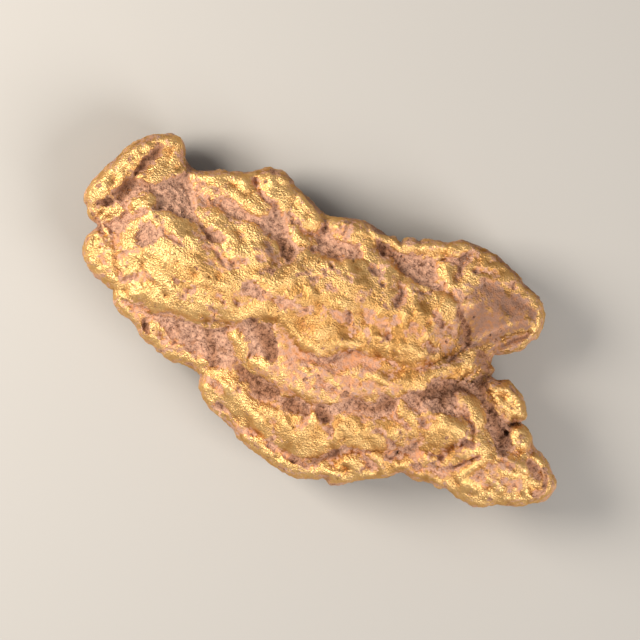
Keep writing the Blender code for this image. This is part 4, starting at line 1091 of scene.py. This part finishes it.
def native_gold():
    """Native gold, river-worn and hammered, with iron-stained grit grown into its hollows.

    The metal is a deep yellow with a broken, satin shine, paler where it is rubbed. A film of
    iron stain, salmon with mauve flecks, dulls it in the low places, and the grit there is a
    matt mauve brown with dark grains. Patina makes some crests deeper and less shiny. Shade is
    painted in too: hollows are browned and darkened, and pits, crevices and the top edges are
    darkened along with the dirt.
    """
    material = bpy.data.materials.new("native gold with crust")
    material.use_nodes = True
    tree = material.node_tree
    shader = tree.nodes["Principled BSDF"]
    shader.inputs["Specular Tint"].default_value = linear(GOLD_RIM)
    here = add(tree, "ShaderNodeTexCoord").outputs["Object"]
    crust, film, dirt_and_shade, hollow, patina = (
        add(tree, "ShaderNodeAttribute", attribute_name=name).outputs["Fac"]
        for name in ("crust", "film", "dirt_and_shade", "hollow", "patina"))

    # Grain sizes in millimetres. Real grit is finer than the speckle, the grains and the sand,
    # and real hammering than the Voronoi cells: they are drawn as coarse as they need to show.
    clouds, blots, speckle, grains, sand = (
        add(tree, "ShaderNodeTexNoise", [("Scale", millimetres(size)), ("Detail", detail),
                                         ("Roughness", fineness)],
            [("Vector", here)]).outputs["Fac"]
        for size, detail, fineness in ((2.4, 3, 0.5), (1.1, 2.5, 0.5), (0.45, 3, 0.5),
                                       (0.3, 3, 0.65), (0.45, 4, 0.85)))
    hammered = add(tree, "ShaderNodeTexVoronoi", [("Scale", millimetres(0.19))],
                   [("Vector", here)]).outputs["Distance"]

    # The coat of crust: its reach frayed by speckle, and stray spots where the blots peak.
    fray = add(tree, "ShaderNodeMapRange", [("From Min", 0.3), ("From Max", 0.7),
                                            ("To Min", -4.0), ("To Max", 4.0)],
               [("Value", speckle)]).outputs["Result"]
    spots = add(tree, "ShaderNodeMapRange", [("From Min", 0.60), ("From Max", 0.74),
                                             ("To Min", -3.0), ("To Max", 3.0)],
                [("Value", blots)]).outputs["Result"]
    frayed = add(tree, "ShaderNodeMath", [], [(0, crust), (1, fray)], operation="ADD").outputs[0]
    reached = add(tree, "ShaderNodeMath", [], [(0, frayed), (1, spots)],
                  operation="MAXIMUM").outputs[0]
    coat = add(tree, "ShaderNodeMapRange", [("From Min", -0.6), ("From Max", 1.2)],
               [("Value", reached)], interpolation_type="SMOOTHSTEP").outputs["Result"]

    # The veil of film: its reach drawn in and out by the blots and frayed by the speckle.
    drawn = add(tree, "ShaderNodeMapRange", [("From Min", 0.35), ("From Max", 0.65),
                                             ("To Min", -3.5), ("To Max", 3.5)],
                [("Value", blots)]).outputs["Result"]
    mottled = add(tree, "ShaderNodeMath", [], [(0, drawn), (1, fray)],
                  operation="ADD").outputs[0]
    veiled = add(tree, "ShaderNodeMath", [], [(0, film), (1, mottled)],
                 operation="ADD").outputs[0]
    veil = add(tree, "ShaderNodeMapRange", [("From Min", -2.0), ("From Max", 2.6)],
               [("Value", veiled)]).outputs["Result"]

    # The metal's own colour: light on rubbed crests, deeper in hollows and under patina; the
    # deepening in hollows is partly painted shade.
    rubbed = add(tree, "ShaderNodeMath", [(1, -0.08)], [(0, hollow), (2, clouds)],
                 operation="MULTIPLY_ADD").outputs[0]
    dulled = add(tree, "ShaderNodeMath", [(1, -0.2)], [(0, patina), (2, rubbed)],
                 operation="MULTIPLY_ADD").outputs[0]
    tint = add(tree, "ShaderNodeMapRange", [("From Min", 0.2), ("From Max", 0.6)],
               [("Value", dulled)]).outputs["Result"]
    metal = add(tree, "ShaderNodeMix", [(6, linear(GOLD_DEEP)), (7, linear(GOLD_LIGHT))],
                [(0, tint)], data_type="RGBA").outputs[2]
    # Hollows are browned and darkened: partly tarnish, partly painted shade.
    deep = add(tree, "ShaderNodeMapRange", [("From Min", 0.3), ("From Max", 2.8)],
               [("Value", hollow)]).outputs["Result"]
    tarnished_and_shaded = add(tree, "ShaderNodeMix", [(7, linear(HOLLOW_TARNISH_AND_SHADE))], [(0, deep), (6, metal)],
               data_type="RGBA", blend_type="MULTIPLY").outputs[2]

    # The film's colour: salmon, flecked with mauve, and more of it where dirt and painted shade
    # gather.
    clouded = add(tree, "ShaderNodeMapRange", [("To Min", 0.5), ("To Max", 1.0)],
                  [("Value", dirt_and_shade)]).outputs["Result"]
    flecked = add(tree, "ShaderNodeMath", [(1, 3.0)], [(0, speckle), (2, clouded)],
                  operation="MULTIPLY_ADD").outputs[0]
    smoked = add(tree, "ShaderNodeMapRange", [("From Min", 1.6), ("From Max", 2.7)],
                 [("Value", flecked)]).outputs["Result"]
    stain = add(tree, "ShaderNodeMix", [(6, linear(FILM_PINK)), (7, linear(FILM_MAUVE))],
                [(0, smoked)], data_type="RGBA").outputs[2]
    filmed = add(tree, "ShaderNodeMix", [], [(0, veil), (6, tarnished_and_shaded), (7, stain)],
                 data_type="RGBA").outputs[2]

    # The crust's colour: pink and grey sand with dark grains, more of them where dirt and painted
    # shade gather.
    mixed = add(tree, "ShaderNodeMapRange", [("From Min", 0.40), ("From Max", 0.60)],
                [("Value", sand)]).outputs["Result"]
    drift = add(tree, "ShaderNodeMix", [(6, linear(CRUST_GREY)), (7, linear(CRUST_PINK))],
                [(0, mixed)], data_type="RGBA").outputs[2]
    gathered = add(tree, "ShaderNodeMath", [(1, -0.03)], [(0, dirt_and_shade), (2, sand)],
                   operation="MULTIPLY_ADD").outputs[0]
    spread = add(tree, "ShaderNodeMapRange", [("From Min", 0.36), ("From Max", 0.47)],
                 [("Value", gathered)]).outputs["Result"]
    grit = add(tree, "ShaderNodeMix", [(6, linear(CRUST_DARK))], [(0, spread), (7, drift)],
               data_type="RGBA").outputs[2]
    coated = add(tree, "ShaderNodeMix", [], [(0, coat), (6, filmed), (7, grit)],
                 data_type="RGBA").outputs[2]

    # Dirt and painted shade over all of it: shade painted into its pits, hollows, crevices and top
    # edges, dirt there too and in stray spots.
    spotted = add(tree, "ShaderNodeMapRange", [("From Min", 0.64), ("From Max", 0.70),
                                               ("To Max", 0.8)],
                  [("Value", blots)]).outputs["Result"]
    soiled_and_shaded = add(tree, "ShaderNodeMath", [], [(0, dirt_and_shade), (1, spotted)],
                 operation="MAXIMUM").outputs[0]
    shade = add(tree, "ShaderNodeMix", [(7, linear(DIRT_AND_SHADE_BROWN))], [(0, soiled_and_shaded), (6, coated)],
                data_type="RGBA", blend_type="MULTIPLY").outputs[2]
    tree.links.new(shade, shader.inputs["Base Color"])

    # Metal shines through a thin veil; the crust has none of it. What covers it roughens it.
    matt = add(tree, "ShaderNodeMath", [], [(0, veil), (1, clouded)],
               operation="MULTIPLY").outputs[0]
    dull = add(tree, "ShaderNodeMapRange", [("To Min", 0.15)], [("Value", matt)]).outputs["Result"]
    covered = add(tree, "ShaderNodeMath", [], [(0, dull), (1, coat)],
                  operation="MAXIMUM").outputs[0]
    metallic = add(tree, "ShaderNodeMath", [(0, 1.0)], [(1, covered)], operation="SUBTRACT",
                   use_clamp=True).outputs[0]
    tree.links.new(metallic, shader.inputs["Metallic"])
    smooth = add(tree, "ShaderNodeMapRange", [("To Min", 0.35), ("To Max", 0.9)],
                 [("Value", covered)]).outputs["Result"]
    rough = add(tree, "ShaderNodeMath", [(1, 0.08)], [(0, patina), (2, smooth)],
                operation="MULTIPLY_ADD").outputs[0]
    tree.links.new(rough, shader.inputs["Roughness"])

    # The finest dents and grains, a tenth of a millimetre high, fainter where it is worn.
    worn = add(tree, "ShaderNodeMapRange", [("From Min", 0.36), ("From Max", 0.6),
                                            ("To Min", 0.5), ("To Max", 1.0)],
               [("Value", clouds)]).outputs["Result"]
    dented = add(tree, "ShaderNodeBump", [("Distance", 0.0001)],
                 [("Height", hammered), ("Strength", worn)])
    pitted = add(tree, "ShaderNodeBump", [("Distance", 0.00013)],
                 [("Height", grains), ("Strength", worn), ("Normal", dented.outputs["Normal"])])
    tree.links.new(pitted.outputs["Normal"], shader.inputs["Normal"])
    return material


def matt_card():
    """White card stock, uncoated: a plain matt surface with no grain that shows."""
    material = bpy.data.materials.new("matt card")
    material.use_nodes = True
    shader = material.node_tree.nodes["Principled BSDF"]
    shader.inputs["Base Color"].default_value = linear(CARD_WHITE)
    shader.inputs["Roughness"].default_value = 0.9
    return material


def add_nugget(places, attributes):
    """The nugget's skin, in place of the plain solid."""
    nugget = bpy.data.objects.new("nugget_skin", grid_mesh("nugget_skin", places, attributes))
    bpy.context.collection.objects.link(nugget)
    nugget.data.materials.append(native_gold())
    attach(nugget, "root")
    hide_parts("nugget")


def add_floor():
    """A square of card, flat on z = 0 and just under the nugget's worn places."""
    corners = [(-FLOOR_HALF, -FLOOR_HALF), (FLOOR_HALF, -FLOOR_HALF),
               (FLOOR_HALF, FLOOR_HALF), (-FLOOR_HALF, FLOOR_HALF)]
    mesh = bpy.data.meshes.new("floor")
    mesh.from_pydata([(x, y, -FLOOR_DROP) for x, y in corners], [], [(0, 1, 2, 3)])
    mesh.materials.append(matt_card())
    floor = bpy.data.objects.new("floor", mesh)
    bpy.context.collection.objects.link(floor)


def seen_way(right, up, out):
    """A direction given as right, up and towards the camera in its view, in part axes."""
    lean = math.radians(LEAN)
    across = np.array([math.cos(lean), math.sin(lean), 0])
    upward = np.array([-math.sin(lean), math.cos(lean), 0])
    return right * across + up * upward + np.array([0, 0, out])


def add_lamp(name, way, distance, size, power, colour):
    """A soft square lamp that way from the nugget, facing it; metres and watts."""
    lamp = bpy.data.lights.new(name, "AREA")
    lamp.size = size
    lamp.energy = power
    lamp.color = linear(colour)[:3]
    holder = bpy.data.objects.new(name, lamp)
    back = way / np.linalg.norm(way)
    side = np.cross(np.array([0, 0, 1.0]), back)
    side /= np.linalg.norm(side)
    turn = Matrix(np.stack([side, np.cross(back, side), back], axis=1).tolist()).to_4x4()
    holder.matrix_world = Matrix.Translation((back * distance).tolist()) @ turn
    bpy.context.collection.objects.link(holder)


def add_sky(strength, colour):
    """An even soft light from all round."""
    world = bpy.data.worlds.new("soft room")
    world.use_nodes = True
    sky = world.node_tree.nodes["Background"]
    sky.inputs["Color"].default_value = linear(colour)
    sky.inputs["Strength"].default_value = strength
    bpy.context.scene.world = world


def add_camera(sheet_middle):
    """Straight above the middle of the sheet, turned so that the sheet's own top is up."""
    camera = bpy.data.cameras.new("camera")
    camera.sensor_width = SENSOR_WIDTH
    camera.lens = camera.sensor_width * CAMERA_HEIGHT / (SHEET_SIDE * SHEET_STEP)
    camera.clip_start = NEAR_LIMIT
    holder = bpy.data.objects.new("camera", camera)
    place = (*sheet_middle, CAMERA_HEIGHT + RIM_LEVEL * SHEET_STEP)
    holder.matrix_world = Matrix.Translation(place) @ Matrix.Rotation(math.radians(LEAN), 4, "Z")
    bpy.context.collection.objects.link(holder)
    bpy.context.scene.camera = holder


# The skin's box is centred on the solid's.
skin, skin_stains_and_shade = nugget_skin()
ground = to_ground(skin)
low, high = ground.reshape(-1, 3).min(axis=0), ground.reshape(-1, 3).max(axis=0)
cad_low, cad_high = (np.array(corner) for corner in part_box("nugget"))
offset = np.array([*((cad_low + cad_high) / 2 - (low + high) / 2)[:2], 0])
add_nugget(ground + offset, skin_stains_and_shade)

add_floor()
add_lamp("key", seen_way(right=-0.74, up=0.25, out=0.62), distance=0.22, size=0.12, power=0.76,
         colour="FFF4E6")
add_lamp("fill", seen_way(right=0.62, up=-0.5, out=0.6), distance=0.5, size=0.3, power=2.6,
         colour="FFF8F0")
add_sky(strength=0.34, colour="F4F2F0")
middle = to_ground(np.array([SHEET_SIDE / 2, SHEET_SIDE / 2, 0.0])) + offset
add_camera(middle[:2])
bpy.context.scene.view_settings.view_transform = "Standard"
